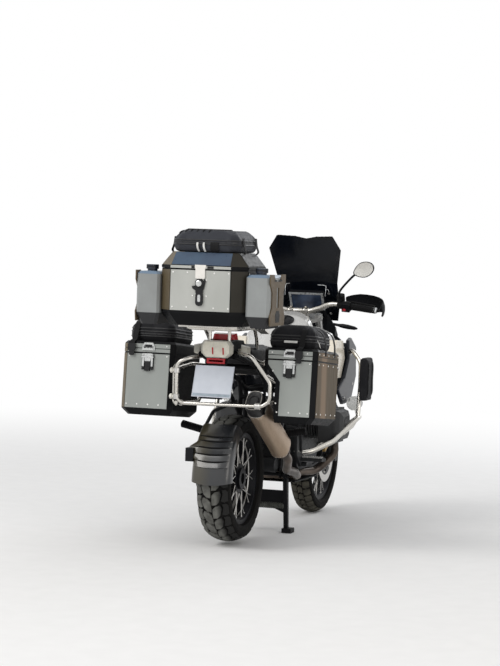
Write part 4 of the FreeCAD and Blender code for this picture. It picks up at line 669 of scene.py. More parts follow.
def part_of(tree, source):
    """The part that a tree repeats, as it was drawn."""
    return step(tree, "GeometryNodeObjectInfo", {"transform_space": "ORIGINAL"}, Object=source)["Geometry"]


def axle_tree():
    """Copies of a part turned about a wheel's axle."""
    tree, given = new_tree("around_axle", [("Part", "Object"), ("Count", "Int"), ("Axle", "Vector"),
                                           ("Finish", "Material")])
    line = step(tree, "GeometryNodeMeshLine", Count=given["Count"], Start_Location=(0.0, 0.0, 0.0),
                Offset=(0.0, 0.0, 0.0))[0]
    share = worked(tree, "DIVIDE", step(tree, "GeometryNodeInputIndex")[0], given["Count"])
    about = node(tree, "CombineXYZ", Y=worked(tree, "MULTIPLY", share, 2 * math.pi)).outputs[0]
    placed = step(tree, "GeometryNodeSetPosition", Geometry=line, Offset=given["Axle"])[0]
    part = part_of(tree, given["Part"])
    copies = step(tree, "GeometryNodeInstanceOnPoints", Points=placed, Instance=part, Rotation=about)[0]
    return close_tree(tree, copies, given["Finish"])


def point_tree():
    """Copies of a part on points, each turned to its point's outward direction and scaled by its size."""
    tree, given = new_tree("on_points", [("Part", "Object"), ("Scale", "Float"), ("Finish", "Material")])
    outward = step(tree, "GeometryNodeInputNamedAttribute", {"data_type": "FLOAT_VECTOR"}, Name="outward")[0]
    turn = step(tree, "FunctionNodeAlignRotationToVector", {"axis": "Z"}, Vector=outward)[0]
    part = part_of(tree, given["Part"])
    copies = step(tree, "GeometryNodeInstanceOnPoints", Points=given["Geometry"], Instance=part,
                  Rotation=turn,
                  Scale=given["Scale"])[0]
    return close_tree(tree, copies, given["Finish"])


def path_tree():
    """Copies of a part along an edge path, at an even spacing, lying along it."""
    tree, given = new_tree("along_path", [("Part", "Object"), ("Spacing", "Float"), ("Finish", "Material")])
    curve = step(tree, "GeometryNodeMeshToCurve", Mesh=given["Geometry"])[0]
    points = step(tree, "GeometryNodeCurveToPoints", {"mode": "LENGTH"}, Curve=curve, Length=given["Spacing"])
    part = part_of(tree, given["Part"])
    copies = step(tree, "GeometryNodeInstanceOnPoints", Points=points["Points"], Instance=part,
                  Rotation=points["Rotation"])[0]
    return close_tree(tree, copies, given["Finish"])


AROUND_AXLE, ON_POINTS, ALONG_PATH = axle_tree(), point_tree(), path_tree()


def grow(name, base, tree, part, wears, body, slot=None, **values):
    """Runs a tree on a base mesh with a part, and keeps the result as a plain piece."""
    source = bpy.data.objects.new(name + "_part", part)
    obj = bpy.data.objects.new(name, base)
    for item in (source, obj):
        SCENE.collection.objects.link(item)
    modifier = obj.modifiers.new(tree.name, "NODES")
    modifier.node_group = tree
    values.update(Part=source, Finish=finish[wears])
    for item in tree.interface.items_tree:
        if item.in_out == "INPUT" and item.name in values:
            modifier[item.identifier] = values[item.name]
    bpy.context.view_layer.update()
    ready = bpy.data.meshes.new_from_object(obj.evaluated_get(bpy.context.evaluated_depsgraph_get()))
    for item in (obj, source):
        bpy.data.objects.remove(item)
    made = stand(name, ready, wears, body)
    print(name, len(ready.polygons), "faces")
    return made


def turned_copies(name, part, count, axle, wears, body, slot=None):
    """count copies of a part, drawn about the origin, round an axle."""
    return grow(name, bpy.data.meshes.new(name), AROUND_AXLE, part, wears, body, slot, Count=count,
                Axle=tuple(axle))


def on_points(name, part, spots, wears, body, slot=None, scale=1.0):
    """Copies of a part on spots of (place, outward), both in millimetres."""
    base = bpy.data.meshes.new(name)
    base.from_pydata([Vector(place) * mm for place, outward in spots], [], [])
    field = base.attributes.new("outward", "FLOAT_VECTOR", "POINT")
    for entry, (place, outward) in zip(field.data, spots):
        entry.vector = Vector(outward)
    return grow(name, base, ON_POINTS, part, wears, body, slot, Scale=scale)


def along(name, part, path, spacing, wears, body, slot=None, closed=False):
    """Copies of a part along a path of points in millimetres."""
    base = bpy.data.meshes.new(name)
    links = [(i, i + 1) for i in range(len(path) - 1)] + ([(len(path) - 1, 0)] if closed else [])
    base.from_pydata([Vector(point) * mm for point in path], links, [])
    return grow(name, base, ALONG_PATH, part, wears, body, slot, Spacing=spacing * mm)


def rivet_head(radius=4.0, height=2.2):
    """A domed rivet head standing on its origin."""
    profile = [(0, -0.8), (radius, -0.8), (radius, 0.2 * height), (0.86 * radius, 0.6 * height),
               (0.5 * radius, 0.92 * height), (0, height)]
    return Shape().turned(profile, steps=14).mesh("rivet_head", smooth_below=1.2)


# %% [markdown]
# ## Tyres
# A tyre's carcass is a profile turned about the axle, and its tread is rubber left standing between
# grooves. So the carcass is turned with its crown lowered by the groove's depth, and the blocks are set on
# it. One pitch of the pattern is drawn flat, as distance round the tyre and distance across it, then bent
# over the crown, and the node tree repeats it round the axle. The tops keep the solid tyre's own radius.

# %% Tyre shapes
GROOVE = 8.0


class Tyre:
    """One tyre's sizes in millimetres and the surface that its tread is bent over."""

    def __init__(self, node_name, rim_seat, rim_width, crown_drop, edge):
        low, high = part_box(node_name)
        self.radius, self.half = (high.z - low.z) / 2 / mm, (high.y - low.y) / 2 / mm
        self.seat, self.rim_half, self.edge = rim_seat, rim_width / 2, edge
        self.crown = (edge ** 2 + crown_drop ** 2) / (2 * crown_drop)

    def across(self, along_arc, lift):
        """Radius and side of a point on the crown, lift above the groove's floor."""
        turn = along_arc / self.crown
        reach = self.crown - GROOVE + lift
        return self.radius - self.crown + reach * math.cos(turn), reach * math.sin(turn)

    def carcass(self, name, wears, body, axle):
        """The tyre without its blocks: crown, walls and beads, turned about the axle."""
        arc_end = self.crown * math.asin(self.edge / self.crown)
        crown = [self.across(arc_end * (i / 8 - 1), 0) for i in range(17)]
        depth = self.radius - self.seat
        wall = [(self.seat + 0.9 * depth * t, self.half - drop) for t, drop in (
            (0.10, self.half - self.rim_half - 3), (0.18, self.half - self.rim_half - 3), (0.22, 7.5),
            (0.30, 4.0),
            (0.345, 2.6), (0.355, 1.2), (0.385, 1.2), (0.395, 1.6), (0.50, 0.0), (0.62, 0.3), (0.66, 0.9),
            (0.67, 2.0),
            (0.72, 2.6), (0.76, 4.0))]
        left = [(r, -y) for r, y in wall]
        profile = left + crown[1:-1] + list(reversed(wall)) + [(self.seat, self.rim_half),
                                                               (self.seat, -self.rim_half)]
        place = Matrix.Translation(Vector(axle) / mm) @ Matrix.Rotation(math.radians(-90), 4, "X")
        return Shape().hoop(profile, place, steps=144).piece(name, wears, body, "tyre", smooth_below=0.7)

    def blocks(self, name, outlines, count, axle, wears, body):
        """Tread blocks: each outline is drawn as (round the tyre, across it)."""
        shape = Shape()
        for outline in outlines:
            shape.plate(outline, -1.5, GROOVE, bevel=1.6, steps=1)
        skin = shape.skin
        for normal, reach in ((Vector((1, 0, 0)), 40), (Vector((0, 1, 0)), 100)):
            for cut in range(-reach, reach + 1, 10):
                bmesh.ops.bisect_plane(skin, geom=skin.verts[:] + skin.edges[:] + skin.faces[:],
                                       plane_co=normal * (cut + 0.37), plane_no=normal, dist=1e-4)
        for vert in skin.verts:
            round_way, side_way, lift = vert.co
            radius, side = self.across(side_way, lift)
            turn = round_way / self.radius
            vert.co = Vector((radius * math.sin(turn), side, radius * math.cos(turn)))
        return turned_copies(name, shape.mesh(name, smooth_below=0.5), count, axle, wears, body, "tyre")


def mirrored_outline(outline, shift=0.0):
    """The same outline on the other side of the tyre, moved round it."""
    return [(x + shift, -y) for x, y in reversed(outline)]


# %% Rear tyre
rear = Tyre("rear_tyre", rim_seat=216, rim_width=114, crown_drop=26.5, edge=81)
REAR_COUNT = 26
pitch = 2 * math.pi * rear.radius / REAR_COUNT
half = pitch / 2
centre_block = [(-half + 4, 2), (half - 20, 4), (half - 4, 20), (half + 2, 44), (half - 18, 52),
                (-half + 22, 40),
                (-half + 6, 24)]
shoulder = [(-half + 26, 50), (half - 12, 60), (half + 8, 55), (half + 10, 74), (half - 2, 86),
            (-half + 24, 86),
            (-half + 18, 66)]
rear_outlines = [centre_block, mirrored_outline(centre_block, half), shoulder,
                 mirrored_outline(shoulder, half)]
rear_carcass = rear.carcass("rear_tyre_carcass", "tyre_rubber", "rear_wheel", REAR_AXLE)
rear.blocks("rear_tread_blocks", rear_outlines, REAR_COUNT, REAR_AXLE, "tread_rubber", "rear_wheel")
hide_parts("rear_tyre")

# %% Front tyre
front = Tyre("front_tyre", rim_seat=241, rim_width=76, crown_drop=21.8, edge=56)
FRONT_COUNT = 38
half = math.pi * front.radius / FRONT_COUNT
centre_block = [(-half + 4, -13), (half - 12, -13), (half - 3, 0), (half - 12, 13), (-half + 4, 13),
                (-half + 13, 0)]
shoulder = [(-half + 14, 19), (half - 3, 17), (half + 1, 34), (half - 6, 58), (-half + 12, 58),
            (-half + 8, 36)]
front_outlines = [centre_block, shoulder, mirrored_outline(shoulder, half)]
front_carcass = front.carcass("front_tyre_carcass", "tyre_rubber", "front_wheel", FRONT_AXLE)
front.blocks("front_tread_blocks", front_outlines, FRONT_COUNT, FRONT_AXLE, "tread_dark", "front_wheel")
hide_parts("front_tyre")

# %% [markdown]
# ## Wheel fittings
# The rims, hubs and crossed spokes are solids of the model. What they lack is small: a nipple where each
# spoke meets the rim, and the bolts that hold the discs and the front hub. They repeat round the axle, so
# each ring of them is one part and one tree.

# %% Nipples and bolts


def ring_parts(name, part, radius, spots, count, axle, body, inward=False):
    """Copies round a wheel of a part at spots of (side, angle): it points out along the axle, or in to it."""
    shape = Shape()
    for side, angle in spots:
        outward = (0, 0, -1) if inward else (0, math.copysign(1, side), 0)
        shape.turned(part, Matrix.Rotation(angle, 4, "Y") @ frame_on((0, side, radius), outward, (1, 0, 0)),
                     steps=8)
    return turned_copies(name, shape.mesh(name, smooth_below=1.0), count, axle, "bare_steel", body)


NIPPLE = [(0, 0), (4.2, 0), (4.2, 8), (2.9, 13), (0, 13)]
BOLT = [(0, -2), (6.5, -2), (6.5, 3), (5.6, 4.5), (3, 4.5), (3, 2.5), (0, 2.5)]
LEAD, CROSSINGS = math.radians(24), 10
QUARTER = 2 * math.pi / CROSSINGS / 4
for name, radius, side, body, axle in (("rear", 208, 47, "rear_wheel", REAR_AXLE),
                                       ("front", 233, 30, "front_wheel", FRONT_AXLE)):
    spots = [(way * side, first + sweep) for way, first in ((1, QUARTER), (-1, 0.0)) for sweep in (LEAD,
                                                                                                   -LEAD)]
    ring_parts(name + "_spoke_nipples", NIPPLE, radius, spots, CROSSINGS, axle, body, inward=True)
ring_parts("rear_disc_bolts", BOLT, 50, [(70, 0.2)], 5, REAR_AXLE, "rear_wheel")
ring_parts("front_disc_bolts", BOLT, 98, [(67, 0.3), (-67, 0.3)], 6, FRONT_AXLE, "front_wheel")
ring_parts("front_hub_bolts", BOLT, 26, [(62, 0.1), (-62, 0.1)], 5, FRONT_AXLE, "front_wheel")

# %% [markdown]
# ## Side cases
# Each side case is an eight-sided box of folded sheet with black corners and base. The visible sheets are
# thin bevelled plates laid on the faces of the solid box, so their edges catch light and leave a dark gap
# at every fold. A table says which finish each face gets by the way it faces the lamps: the outer sides are
# painted dark warm brown as painted shade with a painted warm reflection, and the left case's rear corner
# that faces the key lamp is painted lit bronze. The cases tip down at the front, so all their plates are
# drawn upright and turned with one matrix. What lies above the rim rides on the lid.

# %% Case finishes
surface("case_alloy", (0.315, 0.335, 0.318), 0.42, 0.2, (0.265, 0.282, 0.270), clouds=3.2, fleck=60,
        grain=500, depth=0.06, stretch=(1, 1, 0.35))
# The outer side sheets are bare alloy painted dark warm brown: painted shade with a painted warm reflection.
# The lighter upright band near their rear is a painted highlight.
surface("case_sunlit", (0.092, 0.069, 0.042), 0.46, second=(0.060, 0.045, 0.028), clouds=4, specular=0.08,
        depth=0.03, stretch=(1, 1, 0.1),
        zones=[(band_zone("X", -0.790, -0.700, 0.016), (0.195, 0.138, 0.090), 0.46, 0.0)])
surface("top_alloy", (0.455, 0.462, 0.437), 0.42, 0.2, (0.385, 0.395, 0.372), clouds=3.5, fleck=60, grain=500,
        depth=0.06, stretch=(1, 1, 0.5))
# One corner finish under painted light and painted shade: bronze on corners facing the key lamp on the left,
# dark brown on those facing right.
surface("post_bronze", (0.125, 0.095, 0.052), 0.4, 0.3, (0.09, 0.07, 0.04), clouds=4, depth=0.06)
surface("post_brown", (0.027, 0.024, 0.018), 0.4, specular=0.16, clouds=4, depth=0.04)
# Flat dark plates in place of slots and grooves: painted shade in hollows.
surface("groove_dark", (0.02, 0.021, 0.022), 0.6, specular=0.2)
surface("latch_steel", (0.60, 0.61, 0.60), 0.3, 0.7, (0.50, 0.51, 0.51), clouds=30, fleck=90, depth=0.006)
surface("latch_black", (0.009, 0.0095, 0.0105), 0.35, specular=0.3)
surface("rivet_silver", (0.88, 0.88, 0.86), 0.35, 0.2, clouds=60, depth=0.004)
surface("cap_pale", (0.24, 0.34, 0.40), 0.4, clouds=50, depth=0.1)
surface("hasp_pale", (0.80, 0.78, 0.74), 0.42, 0.1, (0.74, 0.72, 0.68), clouds=20, depth=0.006)
surface("strap_white", (0.72, 0.72, 0.70), 0.7, clouds=30, grain=1500, depth=0.4)

# %% Case stations
CASE_REAR, CASE_FRONT, CASE_LOW, CASE_RIM, CASE_TOP = -903, -493, 648, 956, 1014
CASE_IN, CASE_OUT, CASE_CUT, CASE_STEP = 232, 500, 22, 64
CASE_PIVOT = Vector((CASE_REAR, 0, CASE_LOW))
CASE_TIP = math.radians(5)
TIP = Matrix.Translation(CASE_PIVOT) @ Matrix.Rotation(CASE_TIP, 4, "Y") @ Matrix.Translation(-CASE_PIVOT)
SHEET, SHEET_FOOT = 1.6, 34


def upright_faces(x0, x1, y0, y1, cut):
    """The eight upright faces of a case: middle, outward direction and half width."""
    plan = cut_block(x0, x1, y0, y1, cut)
    faces = []
    for (xa, ya), (xb, yb) in zip(plan, plan[1:] + plan[:1]):
        outward = Vector((yb - ya, xa - xb, 0)).normalized()
        faces.append((Vector(((xa + xb) / 2, (ya + yb) / 2, 0)), outward, math.hypot(xb - xa, yb - ya) / 2))
    return faces


class Group:
    """Shapes collected by body and finish, so that like plates end up in one piece."""

    def __init__(self, name):
        self.name, self.shapes = name, {}

    def __call__(self, body, wears):
        return self.shapes.setdefault((body, wears), Shape())

    def done(self, slot="case_alloy"):
        for (body, wears), shape in self.shapes.items():
            shape.piece(f"{self.name}_{body}_{wears}", wears, body, slot, smooth_below=0.5)


def case_finish(outward, side):
    """Which finish the sheet on a face has, or None where the black box shows."""
    # The finish follows the way a face turns to the lamps: painted light on the outer sides and on the lit
    # corner.
    if abs(outward.x) > 0.9:
        return "case_alloy"
    if abs(outward.y) > 0.9:
        return "case_sunlit" if outward.y * side > 0 else None
    return "post_bronze" if outward.y > 0 and side > 0 and outward.x < 0 else "case_black"


# %% Side case sheets
group = Group("side_case_sheets")
for side, label in ((1, "left"), (-1, "right")):
    y0, y1 = sorted((side * CASE_IN, side * CASE_OUT))
    for middle_at, outward, half in upright_faces(CASE_REAR, CASE_FRONT, y0, y1, CASE_CUT):
        wears = case_finish(outward, side)
        if not wears:
            continue
        place = TIP @ frame_on(middle_at, outward)
        margin = 1.6 if half > CASE_CUT else 0.8
        foot, top, reach = CASE_LOW + SHEET_FOOT, CASE_RIM - 5, half - margin
        outline = block(-reach, reach, foot, top)
        if side < 0 and abs(outward.x) > 0.9:
            inner, way = (CASE_STEP + 3 - half, 1) if outward.x < 0 else (half - CASE_STEP - 3, -1)
            outline = [(inner, foot), (way * reach, foot), (way * reach, top), (-way * reach, top),
                       (-way * reach, CASE_RIM - 24), (inner, CASE_RIM - 110)][::way]
        group("chassis", wears).plate(outline, -0.4, SHEET, place, bevel=0.7, steps=1)
        for low, high in ((3, 20), (23.5, 44)):
            band = block(-half + 0.6, half - 0.6, CASE_RIM + low, CASE_RIM + high)
            group(label + "_lid", wears).plate(band, -0.4, SHEET, place, bevel=0.7, steps=1)
group.done()

# %% [markdown]
# ### Rivets and latches
# Rivets hold the sheets to the corners. Their spots are written as distance across the face and height, and
# the point tree stands one head on each. A toggle latch has a crown plate on the lid and, below the rim, a
# cross bar, two legs and a black lever, with a little air between them so each throws its own shadow.

# %% Case rivets and latches
RIVETS = {
    ("left", "chassis"): [(-468, 700), (-412, 700), (-355, 700), (-299, 700), (-466, 940), (-268, 940)],
    ("left", "left_lid"): [(-445, 990), (-272, 990)],
    ("right", "chassis"): [(312, 700), (372, 700), (430, 700), (468, 700), (282, 900), (304, 742),
                           (466, 940)],
    ("right", "right_lid"): [(273, 990), (451, 990)],
}
rear_wall = TIP @ frame_on((CASE_REAR, 0, 0), (-1, 0, 0))


def on_wall(wall, spots, lift):
    """Spots of (across, up) on a wall's frame, as places and outward directions."""
    outward = wall.to_3x3() @ Vector((0, 0, 1))
    return [(wall @ Vector((across, up, lift)), outward) for across, up in spots]


for (label, body), spots in RIVETS.items():
    side = 1 if label == "left" else -1
    side_wall = TIP @ frame_on((0, side * CASE_OUT, 0), (0, side, 0))
    heights = (700, 940) if body == "chassis" else (990,)
    placed = on_wall(rear_wall, spots, SHEET)
    placed += on_wall(side_wall, [(-side * x, z) for z in heights for x in (-866, -790, -700, -610, -530)],
                      SHEET)
    on_points(f"case_rivets_{label}_{body}", rivet_head(4.0, 2.4), placed, "rivet_silver", body,
              "latch_steel")

latch_set = Group("case_latch")
crown = [(-33, 968), (33, 968), (31, 992), (22, 1006), (-22, 1006), (-31, 992)]
for side, label in ((1, "left"), (-1, "right")):
    place = rear_wall @ Matrix.Translation((-side * 366, 0, 0))
    lid_part, steel = latch_set(label + "_lid", "latch_steel"), latch_set("chassis", "latch_steel")
    black = latch_set("chassis", "latch_black")
    lid_part.plate(crown, 0, 7, place, bevel=1.5)
    lid_part.box((-27, 27), (971, 978), (6, 11), place, bevel=1.2)
    latch_set(label + "_lid", "latch_black").box((-18, 18), (983, 996), (6.5, 8), place, bevel=0.6)
    black.plate(cut_block(-31, 31, 878, 953, 6), 0, 4, place)
    steel.plate([(-15, 914), (15, 914), (19, 952), (-19, 952)], 5, 12, place, bevel=1.4)
    steel.box((-31, 31), (931, 938), (9, 16), place, bevel=1.6)
    for way in (-1, 1):
        steel.box((way * 23 - 4.5, way * 23 + 4.5), (886, 952), (3, 12), place, bevel=1.6)
        steel.turned([(0, 0), (6, 0), (6, 15), (4.5, 17), (0, 17)],
                     place @ Matrix.Translation((way * 24, 946, 0)), steps=16)
        black.box((way * 23 - 6, way * 23 + 6), (872, 888), (2, 13), place, bevel=2)
    black.plate([(-15, 880), (15, 880), (12, 926), (-12, 926)], 3, 9, place, bevel=1.5)
    black.box((-13, 13), (866, 884), (3, 14), place, bevel=2.5)

# %% [markdown]
# ## Top case
# The top case has deep cut corners, a tapered black base and a sloped lid. Its rear sheet is the palest
# surface of the luggage, and the slate-blue panel above it is a painted reflection of the sky. Its corner
# sheets are painted lit bronze where they face left and painted shaded brown where they face right. A hasp
# hangs from the lid over a round black lock with a lever and a carrying handle. Wedges fill the lid out to
# its corners.

# %% Top case sheets
TOP_REAR, TOP_FRONT, TOP_HALF, TOP_CUT = -1190, -790, 218, 66
TOP_LOW, TOP_RIM, TOP_LID_EDGE, TOP_LID, TOP_TAPER, TOP_CORNER = 1112, 1384, 1400, 1464, 52, 9
group = Group("top_case_sheets")
for middle_at, outward, half in upright_faces(TOP_REAR, TOP_FRONT, -TOP_HALF, TOP_HALF, TOP_CUT):
    place = frame_on(middle_at, outward)
    if abs(outward.x) > 0.9:
        wears = "top_alloy"
    elif abs(outward.y) > 0.9:
        wears = "case_black"
    else:
        # Left-facing corners are painted lit, right-facing corners painted shaded.
        wears = "post_bronze" if outward.y > 0 else "post_brown"
    outline = block(-half + 2, half - 2, TOP_LOW + 72, TOP_RIM - 6)
    group("chassis", wears).plate(outline, -0.4, SHEET, place, bevel=0.7, steps=1)
    band = block(-half + 0.4, half - 0.4, TOP_RIM + 2, TOP_LID_EDGE - 1)
    faces_back = outward.x < -0.9
    edge_sheet = group("top_lid", "top_alloy" if faces_back else "case_black")
    edge_sheet.plate(band, -0.4, 3.2, place, bevel=1.0, steps=1)
    if abs(outward.x) > 0.9 or abs(outward.y) > 0.9:
        slope_rise = TOP_LID - TOP_LID_EDGE
        slope = frame_on(middle_at + Vector((0, 0, TOP_LID_EDGE)),
                         outward * slope_rise + Vector((0, 0, TOP_TAPER)))
        length, tip = math.hypot(TOP_TAPER, slope_rise) - 3, half - TOP_CORNER - 1
        panel = [(-half + 4, 3), (half - 4, 3), (tip, length), (-tip, length)]
        # The rear slope takes the painted sky reflection.
        top_sheet = group("top_lid", "lid_blue" if faces_back else "case_black")
        top_sheet.plate(panel, -0.4, 1.8, slope, bevel=0.8, steps=1)
rear_face = frame_on((TOP_REAR, 0, 0), (-1, 0, 0))
MIDDLE_X = (TOP_REAR + TOP_FRONT) / 2


def lid_corner(x, y):
    """The wedge that fills a corner of the lid out from its cut top to its cut rim."""
    in_x, in_y = math.copysign(1, MIDDLE_X - x), math.copysign(1, -y)
    tip = TOP_CUT - TOP_TAPER + TOP_CORNER
    wedge = Shape()
    made = wedge._ring((x + in_x * (dx + lean), y + in_y * (dy + lean), z) for dx, dy, lean, z in (
        (0, TOP_CUT, 0, TOP_LID_EDGE), (TOP_CUT, 0, 0, TOP_LID_EDGE), (0, TOP_CUT, TOP_TAPER, TOP_LID),
        (TOP_CUT, 0, TOP_TAPER, TOP_LID), (0, tip, TOP_TAPER, TOP_LID), (tip, 0, TOP_TAPER, TOP_LID)))
    bmesh.ops.convex_hull(wedge.skin, input=made)
    return wedge


for end, x in (("rear", TOP_REAR), ("front", TOP_FRONT)):
    for side, y in (("left", TOP_HALF), ("right", -TOP_HALF)):
        # The rear left lid corner is painted lit, the rear right one painted shaded.
        wears = {"rear left": "post_bronze", "rear right": "post_brown"}.get(f"{end} {side}", "case_black")
        lid_corner(x, y).piece(f"top_lid_corner_{end}_{side}", wears, "top_lid", "lid_alloy",
                               smooth_below=0.3)
# Two dark strips on the lid's rear edge: painted shade in its grooves.
for x0, x1 in ((-46, -30), (34, 66)):
    group("top_lid", "groove_dark").box((x0, x1), (TOP_RIM + 3, TOP_LID_EDGE - 2), (1, 4.2), rear_face,
                                        bevel=0.6)
group.done()

# %% Top case rivets, hasp and lock
spots = [(x, z) for z in (1366, 1200) for x in (-138, -66, 70, 143)] + [(-36, 1256), (32, 1256), (30, 1332)]
placed = on_wall(rear_face, spots, SHEET)
for y in (-TOP_HALF, TOP_HALF):
    wall = frame_on((0, y, 0), (0, y, 0))
    spots = [(math.copysign(x, x * -y), z) for z in (1366, 1290, 1215) for x in (-1112, -868)]
    placed += on_wall(wall, spots, SHEET)
on_points("top_case_rivets", rivet_head(4.2, 2.4), placed, "rivet_silver", "chassis", "latch_steel")

hasp, lock = latch_set("top_lid", "hasp_pale"), latch_set("chassis", "latch_black")
hasp.plate([(-26, 1386), (26, 1386), (28, 1404), (-28, 1404)], 2.5, 6.5, rear_face, bevel=1.2)
hasp.plate(round_block(-24, 24, 1338, 1390, 6), 3.2, 7, rear_face, bevel=1.2)
lock.turned([(0, 0), (23, 0), (23, 5), (20, 8), (20, 12), (15, 15), (15, 18.5), (13, 20), (5, 20), (4, 18),
             (0, 18)],
            rear_face @ Matrix.Translation((-2, 1316, 0)), steps=40)
lock.plate([(-36, 1290), (-20, 1282), (20, 1286), (30, 1330), (22, 1338), (14, 1304), (-18, 1306),
            (-40, 1302)], 2, 7,
           rear_face, bevel=1.5)
lock.plate(round_block(-20, 16, 1266, 1292, 6), 1, 10, rear_face, bevel=2)
lock.plate(round_block(-19, 17, 1208, 1276, 17, 8), 1.5, 12, rear_face, bevel=3, steps=3)
latch_set("chassis", "latch_steel").turned([(0, 19), (12, 19), (14.5, 19.4), (12, 20.8), (8, 21.4),
                                            (0, 21.4)],
                                           rear_face @ Matrix.Translation((-2, 1316, 0)), steps=32)
latch_set("chassis", "latch_steel").plate(round_block(-8, 6, 1228, 1262, 6, 5), 11.8, 12.8, rear_face,
                                          bevel=0.4)
latch_set.done("latch_steel")
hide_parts("latches")

# %% [markdown]
# ## Canisters and their holders
# A flat canister stands on each side of the top case behind a pressed bronze holder. The cap is a moulded
# screw cap, so it gets finger ribs all round, and the holder's slots are flat dark plates: painted shade in
# their hollows.

# %% Canister caps and holder slots
CAN_CAP, CAN_MID, CAN_OUT, CAP_HIGH, CAP_RADIUS, CAP_RIBS = -1098, 277, 342, 1397, 28.6, 24
ARROW = [(-1068, 1140), (-1007, 1140), (-1000, 1176), (-1016, 1196), (-1059, 1196), (-1075, 1176)]
caps, slots = Shape(), Shape()
cap_spots = []
for side in (1, -1):
    centre = Vector((CAN_CAP, side * CAN_MID, CAP_HIGH))
    caps.turned([(0, -2), (25, -2), (25, -0.6), (22, 0), (9, 0), (8, -0.8), (0, -0.8)],
                Matrix.Translation(centre), steps=40)
    for outward in [Vector((c, s, 0)) for c, s in circle(CAP_RIBS)]:
        cap_spots.append((centre + outward * CAP_RADIUS - Vector((0, 0, 11)), outward))
    plate_frame = frame_on((0, side * CAN_OUT, 0), (0, side, 0))
    for x0, x1 in ((-1098, -1060), (-1015, -977)):
        slot_ends = sorted((side * -x0, side * -x1))
        slots.plate(round_block(*slot_ends, 1336, 1344, 3.5), -0.4, 0.8, plate_frame, bevel=0.3)
    arrow = [(side * -x, z) for x, z in ARROW]
    slots.plate(arrow[::-side], -0.4, 0.8, plate_frame, bevel=0.3)
rib = Shape().box((-1.6, 1.6), (-9, 9), (-1.5, 1.3), bevel=0.7, steps=1).mesh("cap_rib")
on_points("canister_cap_ribs", rib, cap_spots, "latch_black", "chassis", "canister_grey")
caps.piece("canister_cap_tops", "cap_pale", "chassis", "canister_grey")
slots.piece("holder_slots", "groove_dark", "chassis", "holder_bronze")

# %% [markdown]
# ## Soft bags and seat
# A packed bag is a sewn skin pushed out from inside. Each one starts from its solid, drawn in by a few
# millimetres and meshed evenly. A short cloth simulation with air pressure and no gravity then swells it
# against its seams, with the side that it rests on held still. A cap on how far a point may move keeps the
# bag in the space that its solid holds. The two bags on the side lids are packed fuller than their solids, so
# their tops are then raised by about a fifth. Piping, zips and straps are sewn on afterwards, found by
# casting rays on the finished skin.

# %% Fabric finishes


def woven(name, colour, rough, thread=0.0016, height=0.35, second=None):
    """Cloth: the common finish with crossed threads on top, thread metres apart."""
    material = surface(name, colour, rough, second=second, clouds=7, fleck=140, grain=900, depth=0.2,
                       specular=0.07)
    tree = material.node_tree
    shader = tree.nodes["Principled BSDF"]
    shader.inputs["Sheen Weight"].default_value = 0.02
    place = node(tree, "TexCoord").outputs["Object"]
    waves = []
    for direction in ("X", "Y", "Z"):
        wave = node(tree, "TexWave", {"bands_direction": direction}, Vector=place, Scale=0.31 / thread,
                    Distortion=0.6,
                    Detail=1.0)
        waves.append(wave.outputs["Fac"])
    crossed = both(tree, both(tree, waves[0], waves[1]), waves[2])
    weave = node(tree, "Bump", Strength=0.5, Distance=height * mm, Height=crossed)
    tree.links.new(shader.inputs["Normal"].links[0].from_socket, weave.inputs["Normal"])
    tree.links.new(weave.outputs[0], shader.inputs["Normal"])
    return material


woven("bag_cloth", (0.012, 0.0125, 0.0145), 0.62, second=(0.018, 0.018, 0.02))
# The top bag's cloth is lighter and bluer than the side bags' black cloth: a painted highlight and painted
# sky reflection.
woven("bag_panel", (0.034, 0.036, 0.043), 0.5, second=(0.044, 0.047, 0.056))
surface("bag_piping", (0.030, 0.030, 0.032), 0.42, grain=1200, depth=0.15, specular=0.3)
surface("zip_metal", (0.05, 0.05, 0.052), 0.35, 0.5, clouds=60, depth=0.02)
woven("webbing", (0.015, 0.015, 0.016), 0.6, thread=0.0022, height=0.5)
surface("seat_cloth", (0.016, 0.016, 0.017), 0.58, grain=520, depth=0.5, specular=0.22, clouds=6)

# %% Padded skins
from mathutils.bvhtree import BVHTree

SWELL_FRAMES = 20


def modified(mesh, kind, **settings):
    """A mesh after one modifier."""
    obj = bpy.data.objects.new("work", mesh)
    SCENE.collection.objects.link(obj)
    modifier = obj.modifiers.new(kind, kind)
    for name, value in settings.items():
        setattr(modifier, name, value)
    made = bpy.data.meshes.new_from_object(obj.evaluated_get(bpy.context.evaluated_depsgraph_get()))
    bpy.data.objects.remove(obj)
    return made


def swollen(mesh, held, pressure):
    """Where the points lie after a short cloth simulation under pressure, with the held ones fixed."""
    obj = bpy.data.objects.new("swelling", mesh)
    SCENE.collection.objects.link(obj)
    pins = obj.vertex_groups.new(name="held")
    pins.add(held, 1.0, "REPLACE")
    cloth = obj.modifiers.new("Cloth", "CLOTH")
    cloth.settings.effector_weights.gravity = 0
    for name, value in dict(use_pressure=True, uniform_pressure_force=pressure, quality=4, mass=0.25,
                            bending_stiffness=2.0, vertex_group_mass="held").items():
        setattr(cloth.settings, name, value)
    cloth.point_cache.frame_start, cloth.point_cache.frame_end = 1, SWELL_FRAMES
    for at in range(1, SWELL_FRAMES + 1):
        SCENE.frame_set(at)
    shaped = obj.evaluated_get(bpy.context.evaluated_depsgraph_get()).to_mesh()
    places = [vert.co.copy() for vert in shaped.vertices]
    SCENE.frame_set(1)
    bpy.data.objects.remove(obj)
    return places


